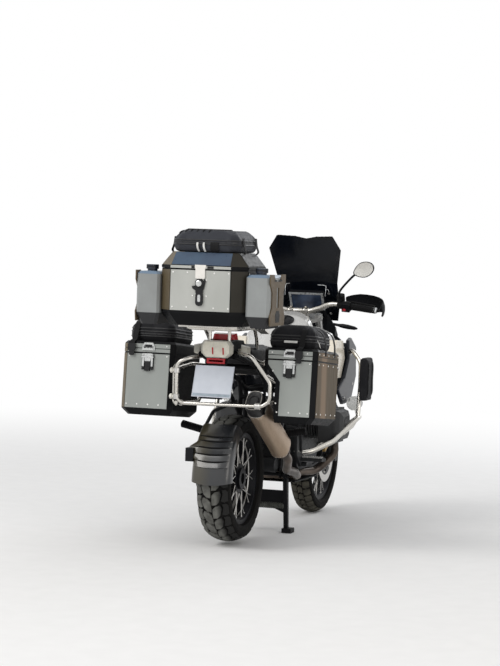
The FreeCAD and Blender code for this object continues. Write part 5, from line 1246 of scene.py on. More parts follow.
def padded_piece(name, solid, wears, body, voxel=6.0, draw_in=9.0, cap=11.0, pressure=4.0, up=(0, 0, 1),
                 rounding=3, rise=0.0):
    """A stuffed skin in a solid's space, its top raised by a share. up points away from what it rests on."""
    skin = modified(CAD[solid].data.copy(), "REMESH", mode="VOXEL", voxel_size=voxel * mm)
    up = Vector(up).normalized()
    heights = [vert.co.dot(up) for vert in skin.vertices]
    low = min(heights)
    normals = [vert.normal.copy() for vert in skin.vertices]
    for vert, normal in zip(skin.vertices, normals):
        vert.co -= (normal - up * min(0.0, normal.dot(up))) * draw_in * mm
    held = [vert.index for vert, height in zip(skin.vertices, heights) if height < low + 1.2 * voxel * mm]
    starts = [vert.co.copy() for vert in skin.vertices]
    for vert, start, end in zip(skin.vertices, starts, swollen(skin, held, pressure)):
        move = end - start
        if move.length > cap * mm:
            move *= cap * mm / move.length
        vert.co = start + move
    skin = modified(skin, "SMOOTH", factor=0.5, iterations=rounding)
    skin = modified(skin, "SUBSURF", levels=1)
    low_box, high_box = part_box(solid)
    for vert in skin.vertices:
        vert.co = Vector([min(max(value, a), b) for value, a, b in zip(vert.co, low_box, high_box)])
    for vert in skin.vertices:
        vert.co += up * (vert.co.dot(up) - low) * rise
    for face in skin.polygons:
        face.use_smooth = True
    made = stand(name, skin, wears, body)
    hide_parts(solid)
    print(name, len(skin.polygons), "faces")
    return made


def skin_tree(obj):
    """A search tree of a piece's skin, for casting rays, in metres."""
    corners = [vert.co for vert in obj.data.vertices]
    return BVHTree.FromPolygons(corners, [face.vertices for face in obj.data.polygons])


def set_on(tree, spots, way, back=400):
    """Spots moved on to a skin along a direction, from so far back: (place, outward) for each that lands."""
    way = Vector(way).normalized()
    placed = []
    for spot in spots:
        hit, normal, _, _ = tree.ray_cast((Vector(spot) - way * back) * mm, way)
        if hit is not None:
            placed.append((hit / mm, normal if normal.dot(way) < 0 else -normal))
    return placed


def girdle(tree, centre, up, height, lift, count=72, across=(0, 1, 0)):
    """A closed path round a skin at one height above a centre, lifted off it, all in millimetres."""
    up = Vector(up).normalized()
    side = Vector(across)
    fore = side.cross(up)
    path = []
    for c, s in circle(count):
        way = fore * c + side * s
        path += [place + way * lift for place, _ in set_on(tree, [Vector(centre) + up * height], -way, 600)]
    return path


def draped_path(tree, points, down, lift):
    """Points let down on a skin along a direction, lifted off it, in millimetres."""
    return [place - Vector(down).normalized() * lift for place, _ in set_on(tree, points, down, 300)]


def between(a, b, count):
    """Even steps from one point to another."""
    a, b = Vector(a), Vector(b)
    return [a.lerp(b, i / (count - 1)) for i in range(count)]


# %% [markdown]
# ### The three luggage bags
# The bag on the top case is quilted on its left half and smooth on its right, with a double rope of piping
# round it and a zip between. The two on the side lids are flatter, with two ropes each. White pull loops,
# webbing and buckles hang at the rear, where the rider reaches them.

# %% Luggage bags
UP_CASE = TIP.to_3x3() @ Vector((0, 0, 1))
FORE_CASE = TIP.to_3x3() @ Vector((1, 0, 0))
tooth = Shape().box((-1.4, 1.4), (-3.2, 3.2), (-1.6, 1.6), bevel=0.5, steps=1).mesh("zip_tooth")

BAGS = [
    # name, solid, cloth, body, up, heights of ropes, zip heights, edges drawn in, rounding passes, rise
    ("top_bag_cloth", "top_bag", "bag_panel", "top_lid", (0, 0, 1), (38, 58), (48,), 5.0, 26, 0.0),
    ("left_lid_bag", "lid_bag_left", "bag_cloth", "left_lid", UP_CASE, (26, 50, 66), (38,), 6.0, 12, 0.18),
    ("right_lid_bag", "lid_bag_right", "bag_cloth", "right_lid", UP_CASE, (34, 62), (48,), 6.0, 12, 0.22),
]
skins = {}
for name, solid, wears, body, up, ropes, zips, draw_in, rounding, rise in BAGS:
    bag = padded_piece(name, solid, wears, body, draw_in=draw_in, up=up, rounding=rounding,
                       rise=rise)
    tree = skins[name] = skin_tree(bag)
    low_box, high_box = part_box(solid)
    centre = (low_box + high_box) / 2 / mm
    up = Vector(up).normalized()
    base = min((vert.co / mm - centre).dot(up) for vert in bag.data.vertices)
    trim = Shape()
    for height in ropes:
        trim.bar(girdle(tree, centre, up, base + height, 0.5), 3.6, steps=8, closed=True)
    trim.piece(name + "_piping", "bag_piping", body, "bag_black", smooth_below=1.2)
    for height in zips:
        along(name + "_zip", tooth.copy(), girdle(tree, centre, up, base + height, 0.2), 5.5, "zip_metal",
              body,
              "bag_black", closed=True)

# %% Quilting, panel and straps of the top bag
tree = skins["top_bag_cloth"]
quilt = Shape()
for index in range(6):
    start_y = 142 - 30 * index
    path = draped_path(tree, between((-1112, start_y, 1560), (-850, start_y - 34, 1560), 22), (0, 0, -1),
                       -0.5)
    quilt.bar(path, [1.5] + [6.5] * (len(path) - 2) + [1.5], steps=10)
quilt.piece("top_bag_quilting", "bag_cloth", "top_lid", "bag_black", smooth_below=1.2)
straps, loops = Shape(), Shape()
for y in (34, 2):
    loops.strap(smooth_path([(-1149, y, 1510), (-1156, y - 1, 1498), (-1156, y - 4, 1482),
                             (-1144, y - 7, 1468)], 5), 9,
                2.2, (0, 1, 0))
straps.strap(smooth_path([(-1146, -52, 1512), (-1151, -52, 1500), (-1149, -52, 1478), (-1140, -52, 1466)],
                         5), 40, 2.4,
             (0, 1, 0))
for x in (-1075, -880):
    side_strap = [(x, -150, 1556), (x, -172, 1536), (x, -177, 1500), (x, -186, 1472), (x, -178, 1458),
                  (x, -150, 1462)]
    for flip in (1, -1):
        straps.strap(smooth_path([(px, py * flip, pz) for px, py, pz in side_strap[1:-1]], 6), 26, 2.6,
                     (1, 0, 0))
loops.piece("top_bag_loops", "strap_white", "top_lid", "bag_black")
straps.piece("top_bag_straps", "webbing", "top_lid", "bag_black")

# %% Straps and tags of the side bags
webs, tags, buckles = Group("side_bag_webbing"), Group("side_bag_tags"), Group("side_bag_buckles")


def case_point(x, y, z):
    """A point drawn on an upright side case, where it is on the tipped one."""
    return TIP @ Vector((x, y, z))


for side, body, strap_at in ((1, "left_lid", 452), (-1, "right_lid", -412)):
    path = [case_point(CASE_REAR + dx, strap_at, CASE_TOP + dz) for dx, dz in
            ((96, 106), (60, 90), (38, 46), (22, 8), (2, 2), (-9, -10), (-10, -40), (-9, -52))]
    webs(body, "webbing").strap(smooth_path(path, 6), 26, 2.6, (0, 1, 0))
    place = TIP @ frame_on((CASE_REAR - 9, strap_at, CASE_TOP - 30), (-1, 0, 0))
    buckle = buckles(body, "latch_black")
    buckle.plate(round_block(-19, 19, -22, 16, 6), 1, 10, place, bevel=2.5)
    buckle.plate(round_block(-13, 13, -44, -20, 5), 0, 7, place, bevel=2)
    for x in (-760, -600):
        path = [case_point(x, side * y, z) for y, z in ((456, 1112), (484, 1092), (499, 1050), (503, 1012),
                                                        (503.5, 985))]
        webs(body, "webbing").strap(smooth_path(path, 6), 24, 2.4, FORE_CASE)
tag = tags("right_lid", "strap_white")
tag.box((-34, 34), (0, 11), (0, 1.6), TIP @ frame_on((CASE_REAR + 36, -352, CASE_TOP + 26), (-1, 0, 0.25)),
        bevel=0.5)
tag_path = [case_point(-818, -472, 1060), case_point(-836, -486, 1046), case_point(-842, -496, 1024)]
tag.strap(smooth_path(tag_path, 6), 8, 2, (0, 0.6, 0.8))
for collected in (webs, tags, buckles):
    collected.done("bag_black")

# %% [markdown]
# ### Guard bags and seat
# The small bags strapped inside the engine guards get the same skin, and two webbing bands each. The seat is
# foam under a grippy cover: it swells much less, and a sewn seam runs round its upper edge.

# %% Guard bags and seat
padded_piece("guard_bags_cloth", "guard_bags", "bag_cloth", "chassis", voxel=5.0, draw_in=6, cap=7)
bands = Shape()
for side in (1, -1):
    for x in (282, 356):
        loop = [(x, 408, 738), (x, 434, 704), (x, 459, 726), (x, 460, 800), (x, 459, 884), (x, 434, 914),
                (x, 409, 884)]
        bands.strap(smooth_path([(px, side * py, pz) for px, py, pz in loop], 5), 20, 2.2, (1, 0, 0))
bands.piece("guard_bag_bands", "webbing", "chassis", "bag_black")
seat = padded_piece("seat_cover", "seat", "seat_cloth", "chassis", voxel=8.0, draw_in=3, cap=4, pressure=2.0,
                    rounding=10)
tree = skin_tree(seat)
seams = Shape()
for y in (-104, 104):
    for x0, wide0, x1, wide1 in ((-640, 0.94, -350, 1.12), (-300, 1.08, -20, 0.82)):
        path = draped_path(tree, between((x0, y * wide0, 1040), (x1, y * wide1, 1040), 30), (0, 0, -1), -0.6)
        seams.bar(path, 2.2, steps=8)
seams.piece("seat_seams", "bag_piping", "chassis", "seat_black", smooth_below=1.2)

# %% [markdown]
# ## Silencer
# The silencer is an oval can of tinted steel. Its sections are superellipses, which are rounder than a box
# and flatter than an ellipse, lofted along the line from the exhaust joint to the tail. A black moulded cap
# closes its end round a short outlet, and a light ring marks the cap's edge.

# %% Silencer sections
surface("cap_black", (0.02, 0.02, 0.021), 0.4, specular=0.3, depth=0.1)
surface("ring_light", (0.42, 0.40, 0.37), 0.35, 0.6, clouds=30, depth=0.005)
# Glossy black hugger; the warm olive tint over its left part is a painted reflection.
surface("hugger_gloss", (0.014, 0.016, 0.019), 0.3, second=(0.011, 0.012, 0.014), specular=0.5, coat=0.5,
        clouds=9, fleck=50, depth=0.004, rough_span=0.03,
        zones=[(band_zone("Y", 0.02, 0.3, 0.03), (0.038, 0.033, 0.020), 0.3, 0.0)])
surface("plate_strip", (0.30, 0.36, 0.42), 0.5, clouds=30, depth=0.05)
surface("knob_white", (0.74, 0.72, 0.66), 0.45, clouds=60, depth=0.1)
JOINT, TAIL = Vector((-470, -228, 462)), Vector((-906, -196, 752))
PIPE_WAY = (TAIL - JOINT).normalized()
PIPE_SIDE = PIPE_WAY.cross(Vector((0, 0, 1))).normalized()
PIPE_UP = PIPE_SIDE.cross(PIPE_WAY)
CAN_LENGTH = (TAIL - JOINT).length


def can_ring(along_can, half_wide, half_high, count=44, power=2.7):
    """A superellipse section of the silencer."""
    middle_at = JOINT + PIPE_WAY * along_can
    return [middle_at + PIPE_SIDE * (half_wide * math.copysign(abs(c) ** (2 / power), c))
            + PIPE_UP * (half_high * math.copysign(abs(s) ** (2 / power), s)) for c, s in circle(count)]


can = Shape().loft([can_ring(*station) for station in (
    (38, 30, 32), (39, 34, 44), (44, 44, 56), (50, 46.5, 59), (54, 48.5, 61.5), (66, 48.5, 61.5),
    (70, 47.5, 60.5),
    (CAN_LENGTH - 96, 48, 62), (CAN_LENGTH - 70, 48, 62), (CAN_LENGTH - 66, 46, 60))])
joint = Shape().loft([can_ring(*station, power=2) for station in (
    (-4, 27, 29), (0, 29, 31), (12, 29, 31), (15, 26, 28), (28, 27, 29), (40, 32, 36))])
joint.hoop([(27, 2), (33, 2), (33, 12), (27, 12)], frame_on(JOINT, PIPE_WAY), steps=36)
joint.piece("silencer_joint", "pipe_steel", "chassis", "silencer_steel")
can_piece = can.piece("silencer_can", "silencer_steel", "chassis", "silencer_steel")
cap = Shape().loft([can_ring(*station) for station in (
    (CAN_LENGTH - 72, 44, 58), (CAN_LENGTH - 60, 47.5, 61.5), (CAN_LENGTH - 20, 45, 58),
    (CAN_LENGTH - 4, 40, 53),
    (CAN_LENGTH, 34, 46), (CAN_LENGTH - 1, 31, 42))])
cap.piece("silencer_end_cap", "cap_black", "chassis", "silencer_steel")
trim = Shape().bar(can_ring(CAN_LENGTH - 3, 38.5, 51.5), 2.2, steps=8, closed=True)
trim.bar(can_ring(CAN_LENGTH - 66, 48, 62), 2.0, steps=8, closed=True)
trim.piece("silencer_rings", "ring_light", "chassis", "silencer_steel", smooth_below=1.2)
outlet = Shape().hoop([(20, -8), (25, -8), (26, 4), (24.5, 6), (22, 6), (20, 4)], frame_on(TAIL, PIPE_WAY),
                      steps=36)
outlet.turned([(0, -7), (21, -7), (21, -4), (0, -4)], frame_on(TAIL, PIPE_WAY), steps=36)
outlet.piece("silencer_outlet", "cap_black", "chassis", "silencer_steel")
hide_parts("silencer")
rivet_ring = []
for along_can in (60, CAN_LENGTH - 84):
    for point in can_ring(along_can, 48.6, 62, count=18):
        outward = point - (JOINT + PIPE_WAY * along_can)
        rivet_ring.append((point - outward.normalized() * 0.6, outward.normalized()))
on_points("silencer_rivets", rivet_head(3.0, 1.6), rivet_ring, "ring_light", "chassis", "silencer_steel")

# %% [markdown]
# ## Hugger
# The hugger is one glossy moulding bent round the tyre. Its cross-section is drawn once, as a radius for each
# distance from the middle, and swept round the axle. Its rear half is stepped like overlapping scales, with a
# matte black bar in the crease under each as painted shade, and its left side stands out over the final
# drive, with a warm olive tint over its left part that is a painted reflection.

# %% Hugger skin
HUG_CENTRE, HUG_HALF, HUG_EDGE = REAR_AXLE / mm, 103.0, 286.0


def hugger_point(side_way, degrees, lift=0.0):
    """A point of the hugger's skin: distance from the middle plane, angle round the axle, lift."""
    share = min(1.0, abs(side_way) / HUG_HALF)
    radius = HUG_EDGE + 56 * (1 - share ** 5) ** (1 / 3) + lift
    angle = math.radians(degrees)
    if side_way > 0:
        side_way *= 1 + 0.34 * wing(degrees) * share
    return HUG_CENTRE + Vector((-radius * math.sin(angle), side_way, radius * math.cos(angle)))


SCALE_ENDS, SCALE_LIFT = [49.0, 53.5, 59.5, 65.5, 71.5, 77.0], 8.0


def arch(side_way):
    """How far a scale's edge bows round the wheel, in degrees."""
    return -2.2 * (side_way / HUG_HALF) ** 2


def fade(side_way):
    """A scale's height dies out towards the sides."""
    return max(0.0, 1 - abs(side_way / (0.86 * HUG_HALF)) ** 3)


def wing(degrees):
    """How much the left side stands out over the final drive, from 0 to 1."""
    return max(0.0, min(1.0, (degrees - 52.5) / 4.5, (70.0 - degrees) / 2.5))


stations = [HUG_HALF * math.sin(math.radians(a)) for a in range(-90, 91, 6)]
shell = Shape()
rings = []
ends = [34.5] + SCALE_ENDS + [91.0]
for start, end in zip(ends, ends[1:]):
    for share in (0.02, 0.3, 0.6, 0.85, 0.95, 1.0):
        degrees = start + (end - start) * share
        if end == ends[-1]:
            rise = 3.5 * share ** 2
        else:
            rise = 0.0 if start == ends[0] else SCALE_LIFT * share ** 1.5
        outer = [hugger_point(y, degrees + arch(y), 1.4 + rise * fade(y)) for y in stations]
        inner = [hugger_point(y * 0.97, degrees + arch(y), -4) for y in reversed(stations)]
        rings.append(outer + inner)
shell.loft(rings)
shell.piece("hugger_skin", "hugger_gloss", "chassis", "plastic_black", smooth_below=0.9)
# Matte black bars in the crease under each scale: painted shade.
crease_shades = Shape()
width = [y for y in stations if fade(y) > 0.08]
for degrees in SCALE_ENDS[:-1]:
    path = [hugger_point(y, degrees + arch(y) + 0.3, 2.6 + 2.0 * fade(y)) for y in width]
    crease_shades.bar(path, [0.5 + 3.0 * fade(y) for y in width], steps=8)
crease_shades.piece("hugger_creases", "grip_rubber", "chassis", "plastic_black", smooth_below=1.2)

# %% [markdown]
# ## Plate, lamps and rack fittings
# The plate is blank, with a rim pressed into its edge and a blue-grey strip along its foot. The pale lens
# over it has two red filaments on its face. Clamps and pale knobs hold the rack's hoop to the case mounts.

# %% Plate and lens
plate_face = frame_on((-953, 0, 835), (-math.cos(math.radians(20)), 0, math.sin(math.radians(20))))


def border(shape, half_x, half_y, wide_x, wide_y, z, place, **options):
    """Four strips round the edge of a rectangle."""
    in_x, in_y = half_x - wide_x, half_y - wide_y
    for x, y in (((-half_x, half_x), (in_y, half_y)), ((-half_x, half_x), (-half_y, -in_y)),
                 ((-half_x, -in_x), (-in_y, in_y)), ((in_x, half_x), (-in_y, in_y))):
        shape.box(x, y, z, place, **options)
    return shape


rim = border(Shape(), 99, 79.5, 2.5, 2.5, (-0.4, 1.1), plate_face, bevel=0.4, steps=1)
rim.piece("plate_rim", "plate_white", "chassis", "plate_white")
strip = Shape().box((-95, 95), (-76, -62), (-0.4, 0.7), plate_face, bevel=0.3)
strip.piece("plate_strip", "plate_strip", "chassis", "plate_white")
lens_face = frame_on((-922, 0, 0), (-1, 0, 0))
HEX = [(-48, 954), (48, 954), (68, 974), (68, 1008), (54, 1028), (-54, 1028), (-68, 1008), (-68, 974)]
lens = Shape().plate(HEX, -0.6, 2.2, lens_face, bevel=2.0)
lens.piece("rear_lens_face", "hex_lens", "chassis", "lamp_clear")
filaments = Shape()
for x in (-16, 38):
    filaments.plate([(x - 3, 966), (x + 4, 966), (x + 2, 1000), (x - 5, 1000)], 2, 3.2, lens_face, bevel=0.5)
filaments.piece("lens_filaments", "red_lens", "chassis", "lamp_red")
for side in (1, -1):
    place = frame_on((-850, side * 123, 984), (-1, 0, 0))
    frame_shape = Shape().plate(cut_block(-15, 15, -20, 20, 5), -2, 2, place, bevel=1)
    frame_shape.piece("indicator_lens_" + ("left" if side > 0 else "right"), "clear_lens", "chassis",
                      "lamp_clear")
reflector_ribs = [((-925, y, 934), (-1, 0, 0)) for y in range(-38, 39, 9)]
ridge = Shape().box((-3.6, 3.6), (-9.5, 9.5), (-1, 1.2), bevel=1.0).mesh("ridge")
on_points("reflector_ridges", ridge, reflector_ribs, "red_lens", "chassis", "lamp_red")

# %% Rack clamps and knobs
HOOP = -950
MOUNT_Y = 189
clamps, knobs = Shape(), Shape()
clamp_place = frame_on((HOOP, -232, 726), (0, 1, 0))
clamps.turned([(0, -15), (14, -15), (16.5, -13), (16.5, 13), (14, 15), (0, 15)], clamp_place, steps=24)
clamps.box((-7, 7), (8, 26), (-9, 9), frame_on((HOOP, -232, 726), (0, 1, 0), (1, 0, 0)), bevel=1.5)
for height in (752, 880):
    clamps.turned([(0, -13), (13, -13), (15, -11), (15, 11), (13, 13), (0, 13)],
                  frame_on((HOOP, MOUNT_Y, height), (0, 0, 1), (1, 0, 0)), steps=24)
    knobs.turned([(0, 12), (8, 12), (8, 20), (13, 22), (13, 32), (10, 35), (0, 35)],
                 frame_on((HOOP, MOUNT_Y, height), (0.2, 1, 0)), steps=24)
clamps.piece("hoop_clamps", "bare_steel", "chassis", "steel_bright")
knobs.piece("mount_knobs", "knob_white", "chassis", "plastic_black")
print("hoop clamps and knobs at x", HOOP)

# %% [markdown]
# ## Bodywork
# Moulded panels and a pressed tank have no sharp edge anywhere. Each one takes its solid's own skin, meshes
# it evenly and relaxes it, so edges round off over a centimetre while broad faces stay where they are. Fine
# parts get a finer mesh and fewer passes, so they keep their thickness. The tank swells into a crest ahead of
# the rider, so arched sections are joined to its skin before it is meshed, and the two grow together.

# %% Rounded panels
BODY_PANELS = [
    # name, solid, finish, voxel in mm, smoothing passes, slot
    ("tank_shell", "fuel_tank", "tank_paint", 5.0, 14, "tank_paint"),
    ("tank_side_shells", "tank_panels", "panel_beige", 4.0, 7, "panel_beige"),
    ("shroud_shells", "shrouds", "shroud_blue", 4.0, 6, "shroud_blue"),
    ("fairing_shell", "front_fairing", "matt_plastic", 4.0, 5, "plastic_black"),
    ("tail_shell", "tail_fairing", "matt_plastic", 4.5, 8, "plastic_black"),
    ("mudguard_shell", "front_mudguard", "matt_plastic", 3.0, 4, "plastic_black"),
]

CREST = [
    # station along the machine, foot inside the tank, height of the ridge, half width
    (44, 900, 922, 50), (70, 918, 962, 76), (100, 936, 1008, 94), (140, 964, 1052, 110),
    (200, 996, 1096, 124),
    (270, 1034, 1132, 132), (335, 1040, 1150, 126), (366, 1044, 1148, 112), (382, 1046, 1130, 96),
    (388, 1046, 1090, 78),
]


def crest_skin():
    """The tank's raised top ahead of the rider, as arched sections along the machine."""
    arc = [math.radians(12 * step_at) for step_at in range(16)]
    rings = [[(x, half * math.cos(a), foot + (ridge - foot) * math.sin(a) ** 0.75) for a in arc]
             for x, foot, ridge, half in CREST]
    return Shape().loft(rings).mesh("crest")


def rounded(name, solid, wears, voxel, passes, slot):
    """A panel with rounded edges, from its solid's skin. The tank gets its crest before it is meshed."""
    skin = CAD[solid].data.copy()
    if solid == "fuel_tank":
        joined = bmesh.new()
        joined.from_mesh(skin)
        joined.from_mesh(crest_skin())
        joined.to_mesh(skin)
        joined.free()
    skin = modified(skin, "REMESH", mode="VOXEL", voxel_size=voxel * mm)
    skin = modified(skin, "SMOOTH", factor=0.5, iterations=passes)
    for face in skin.polygons:
        face.use_smooth = True
    body = CAD[solid].parent.name.split(":")[1]
    made = stand(name, skin, wears, body)
    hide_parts(solid)
    print(name, len(skin.polygons), "faces on", body)
    return made


panels = {row[0]: rounded(*row) for row in BODY_PANELS}

# %% [markdown]
# ### Screws and filler cap
# Panels are held by button screws with a washer. Each is set on the panel by casting a ray from outside, so
# it stands on the real surface whatever the panel's curve is.

# %% Panel screws
SCREW = [(0, -1), (8, -1), (8, 0.8), (5.6, 1.2), (5.2, 3.0), (3.4, 3.8), (2.2, 3.6), (0, 2.6)]
screw_head = Shape().turned(SCREW, steps=18).mesh("screw_head", smooth_below=0.9)
PANEL_SCREWS = [
    # panel, distance of the spots from the middle, their places along and up
    ("tank_side_shells", 300, ((226, 930), (392, 960), (300, 850))),
    ("shroud_shells", 320, ((360, 690), (520, 760), (560, 930))),
    ("fairing_shell", 320, ((720, 960), (700, 1050))),
]
skins.update({name: skin_tree(panel) for name, panel in panels.items()})
for side, label in ((1, "left"), (-1, "right")):
    placed = []
    for name, y, spots in PANEL_SCREWS:
        placed += set_on(skins[name], [(x, side * y, z) for x, z in spots], (0, -side, 0))
    on_points("panel_screws_" + label, screw_head.copy(), placed, "bare_steel", "chassis", "steel_bright")
cap_at, cap_way = set_on(skins["tank_shell"], [(212, 0, 1100)], (0, 0, -1))[0]
cap_place = frame_on(cap_at, cap_way, (1, 0, 0))
filler = Shape().turned([(0, -3), (52, -3), (52, 1), (49, 4), (44, 5), (42, 9), (38, 11), (12, 12), (10, 10),
                         (0, 10)], cap_place, steps=48)
filler.box((-6, 6), (-30, 30), (11, 15), cap_place, bevel=2)
filler.piece("filler_cap", "satin_plastic", "chassis", "tank_paint")

# %% [markdown]
# ## Engine, guards and rests
# Cast parts carry bolts at the corners of their covers. The rider's rests have steel teeth, the passenger's
# have rubber ribs, and a ribbed sleeve sits on the centre stand's cross tube. The dampers keep the model's
# own coils, and the guard tubes their own bends.

# %% Engine bolts and covers
HEAD_UP, HEAD_OUT = 556, 362
bolt_spots, cover = [], Shape()
for side, x in ((1, 248), (-1, 218)):
    wall = frame_on((x, side * HEAD_OUT, HEAD_UP), (0, side, 0))
    cover.plate(cut_block(-50, 50, -36, 36, 14), -2, 3, wall, bevel=2)
    cover.box((-38, 38), (-5, 5), (2, 5.5), wall, bevel=1.5)
    bolt_spots += [((x + dx, side * (HEAD_OUT - 13), HEAD_UP + dz), (0, side, 0))
                   for dz in (-40.8, 40.8) for dx in (-66.96, 66.96)]
cover.piece("head_cover_plates", "cast_grey", "chassis", "engine_cover")
bolt_head = Shape().turned([(0, -8), (8, -8), (8, 5), (6.5, 6.5), (3.5, 6.5), (3.5, 3), (0, 3)], steps=12)
on_points("head_cover_bolts", bolt_head.mesh("bolt_head"), bolt_spots, "bare_steel", "chassis",
          "steel_bright")

# %% Rests and stand sleeve
surface("cast_sleeve", (0.085, 0.090, 0.080), 0.45, 0.3, (0.04, 0.042, 0.038), clouds=40, depth=0.05)
REST_X, REST_TOP, REST_IN, TOOTH_STEP = -64, 402, 214, 12
teeth = [((REST_X + edge, side * (REST_IN + TOOTH_STEP * index), REST_TOP), (0, 0, 1))
         for side in (1, -1) for index in range(9) for edge in (-14, 14)]
tooth_rings = [[(x, y, height) for x, y in block(-wide, wide, -deep, deep)]
               for wide, deep, height in ((4, 4, -3), (2.6, 4, 3), (1, 1.2, 8))]
rest_tooth = Shape().loft(tooth_rings).mesh("rest_tooth")
on_points("rest_teeth", rest_tooth, teeth, "bare_steel", "chassis", "steel_bright")


def ribbed(count, first, pitch, rib, groove, steps=(8, 9.5, 11.5)):
    """The ribs of a sleeve's profile: radius of the ribs and of the grooves between them."""
    flat, foot, end = steps
    points = []
    for start in [first + pitch * index for index in range(count)]:
        points += [(rib, start), (rib, start + flat), (groove, start + foot), (groove, start + end)]
    return points


rests = Shape()
for side in (1, -1):
    inner, outer = Vector((-470, side * 206, 552)), Vector((-440, side * 334, 575))
    sleeve = [(0, 0), (15, 0), (17, 4)] + ribbed(9, 8, 12.5, 19.5, 17)
    sleeve += [(20, 122), (20, 127), (16, 130), (0, 130)]
    rests.turned(sleeve, frame_on(inner, (outer - inner).normalized()), steps=24)
rests.piece("passenger_rest_rubbers", "grip_rubber", "chassis", "grip_rubber")
sleeve = [(0, -122), (15, -122)] + ribbed(20, -118, 12, 18.5, 15.5, (7, 8.5, 10.5)) + [(15, 122), (0, 122)]
stand_sleeve = Shape().turned(sleeve, frame_on((-78, 0, 143), (0, 1, 0)), steps=28)
stand_sleeve.piece("centre_stand_sleeve", "cast_sleeve", "centre_stand", "frame_black")

# %% [markdown]
# ## Handlebar and controls
# Everything here steers, so it rides on the steering body. Points are written the way a frame builder would:
# so far up the steering axis, so far ahead of it, and so far from the middle. Ribs on the grips repeat along
# the grip's own line.

# %% Grips and switches
AXIS_FOOT = Vector((980, 0, 0))
CROWN_UP = 1198
BAR_UP, BAR_FORE = CROWN_UP + 62, 4
GRIP_IN, GRIP_OUT, GRIP_R = (62, -28, 222), (46, -52, 448), 17


def steer_point(up, fore, side_way):
    """A point by its place up and ahead of the steering axis, in millimetres."""
    return AXIS_FOOT + UP_STEER * up + FORE_STEER * fore + Vector((0, side_way, 0))


def bar_point(up, fore, side_way):
    """A point by its place above and ahead of the middle of the handlebar."""
    return steer_point(BAR_UP + up, BAR_FORE + fore, side_way)


def grip_line(side):
    """A grip's inner end and outer end, and its direction outwards."""
    inner, outer = [bar_point(up, fore, side * y) for up, fore, y in (GRIP_IN, GRIP_OUT)]
    return inner, outer, (outer - inner).normalized()


surface("switch_red", (0.50, 0.015, 0.03), 0.4, clouds=60, depth=0.05)
surface("mirror_glass", (0.93, 0.92, 0.89), 0.08, 0.35, (0.90, 0.88, 0.83), clouds=10, depth=0.002,
        rough_span=0.01, coat=1.0)
surface("frame_silver", (0.60, 0.62, 0.63), 0.3, 0.6, clouds=30, depth=0.005)
# The display is dark glass; its blue is a painted reflection of the sky.
surface("display_blue", (0.055, 0.080, 0.135), 0.12, second=(0.02, 0.028, 0.05), clouds=14, coat=0.6,
        depth=0.005, rough_span=0.02)
ends, switches = Shape(), Shape()
RIB = [(GRIP_R + out, height) for out, height in ((-1.0, -1.3), (1.0, -0.9), (1.3, 0), (1.0, 0.9),
                                                  (-1.0, 1.3))]
for side, label in ((1, "left"), (-1, "right")):
    inner, outer, along_grip = grip_line(side)
    line = [inner + along_grip * s for s in range(98, 214, 4)]
    rib = Shape().hoop(RIB, steps=20).mesh("grip_rib", smooth_below=1.2)
    along("grip_ribs_" + label, rib, line, 4.2, "grip_rubber", "steering", "grip_rubber")
    ends.turned([(0, -4), (14, -4), (17, 0), (17, 14), (14, 19), (0, 19)],
                frame_on(outer - along_grip * 6, along_grip), steps=24)
    box_place = frame_on(inner + along_grip * 68, -FORE_STEER, along_grip)
    switches.box((-20, 24), (-22, 22), (8, 27), box_place, bevel=4)
    for dx, dy in ((-10, -8), (-10, 8), (10, 8)):
        switches.box((dx - 5, dx + 5), (dy - 5, dy + 5), (26, 29), box_place, bevel=1.2)
    if side < 0:
        red = Shape().box((4, 16), (-14, 0), (26, 32), box_place, bevel=2)
        red.piece("stop_switch", "switch_red", "steering", "plastic_black")
left_half = [bar_point(*spot) for spot in ((0, 0, 0), (0, 0, 62), (24, -8, 130), GRIP_IN, GRIP_OUT)]
line = [Vector((p.x, -p.y, p.z)) for p in reversed(left_half[1:])] + left_half
line = smooth_path(line, 8)
tube_shape = Shape().bar(line, [15.5 - 4.5 * min(1, max(0, (abs(p.y) - 150) / 90)) for p in line], steps=18)
for side in (1, -1):
    low, high = steer_point(CROWN_UP + 14, 2, side * 42), steer_point(CROWN_UP + 80, 2, side * 42)
    tube_shape.turned([(0, 0), (16, 0), (18, 4), (18, 30), (21, 36), (21, 62), (18, 66), (0, 66)],
                      frame_on(low, high - low), steps=28)
    for fore in (-12, 12):
        tube_shape.turned([(0, 60), (4.6, 60), (4.6, 70), (3.4, 71.5), (0, 71.5)],
                          frame_on(low + FORE_STEER * fore, high - low), steps=12)
thick_bar = tube_shape.piece("handlebar_tube", "bright_tube", "steering", "steel_bright")
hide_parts("handlebar")
ends.piece("bar_end_weights", "frame_silver", "steering", "steel_bright")
switches.piece("switch_boxes", "matt_plastic", "steering", "plastic_black")

# %% [markdown]
# ### Hand guards
# A hand guard is a moulded shield four millimetres thick that starts ahead of the switches and wraps round
# the grip's end. It is drawn as upright sections along its plan: each row of the table says how far along
# the grip it stands, how far ahead of it, and its lower and upper edge. Its face is crowned between them.

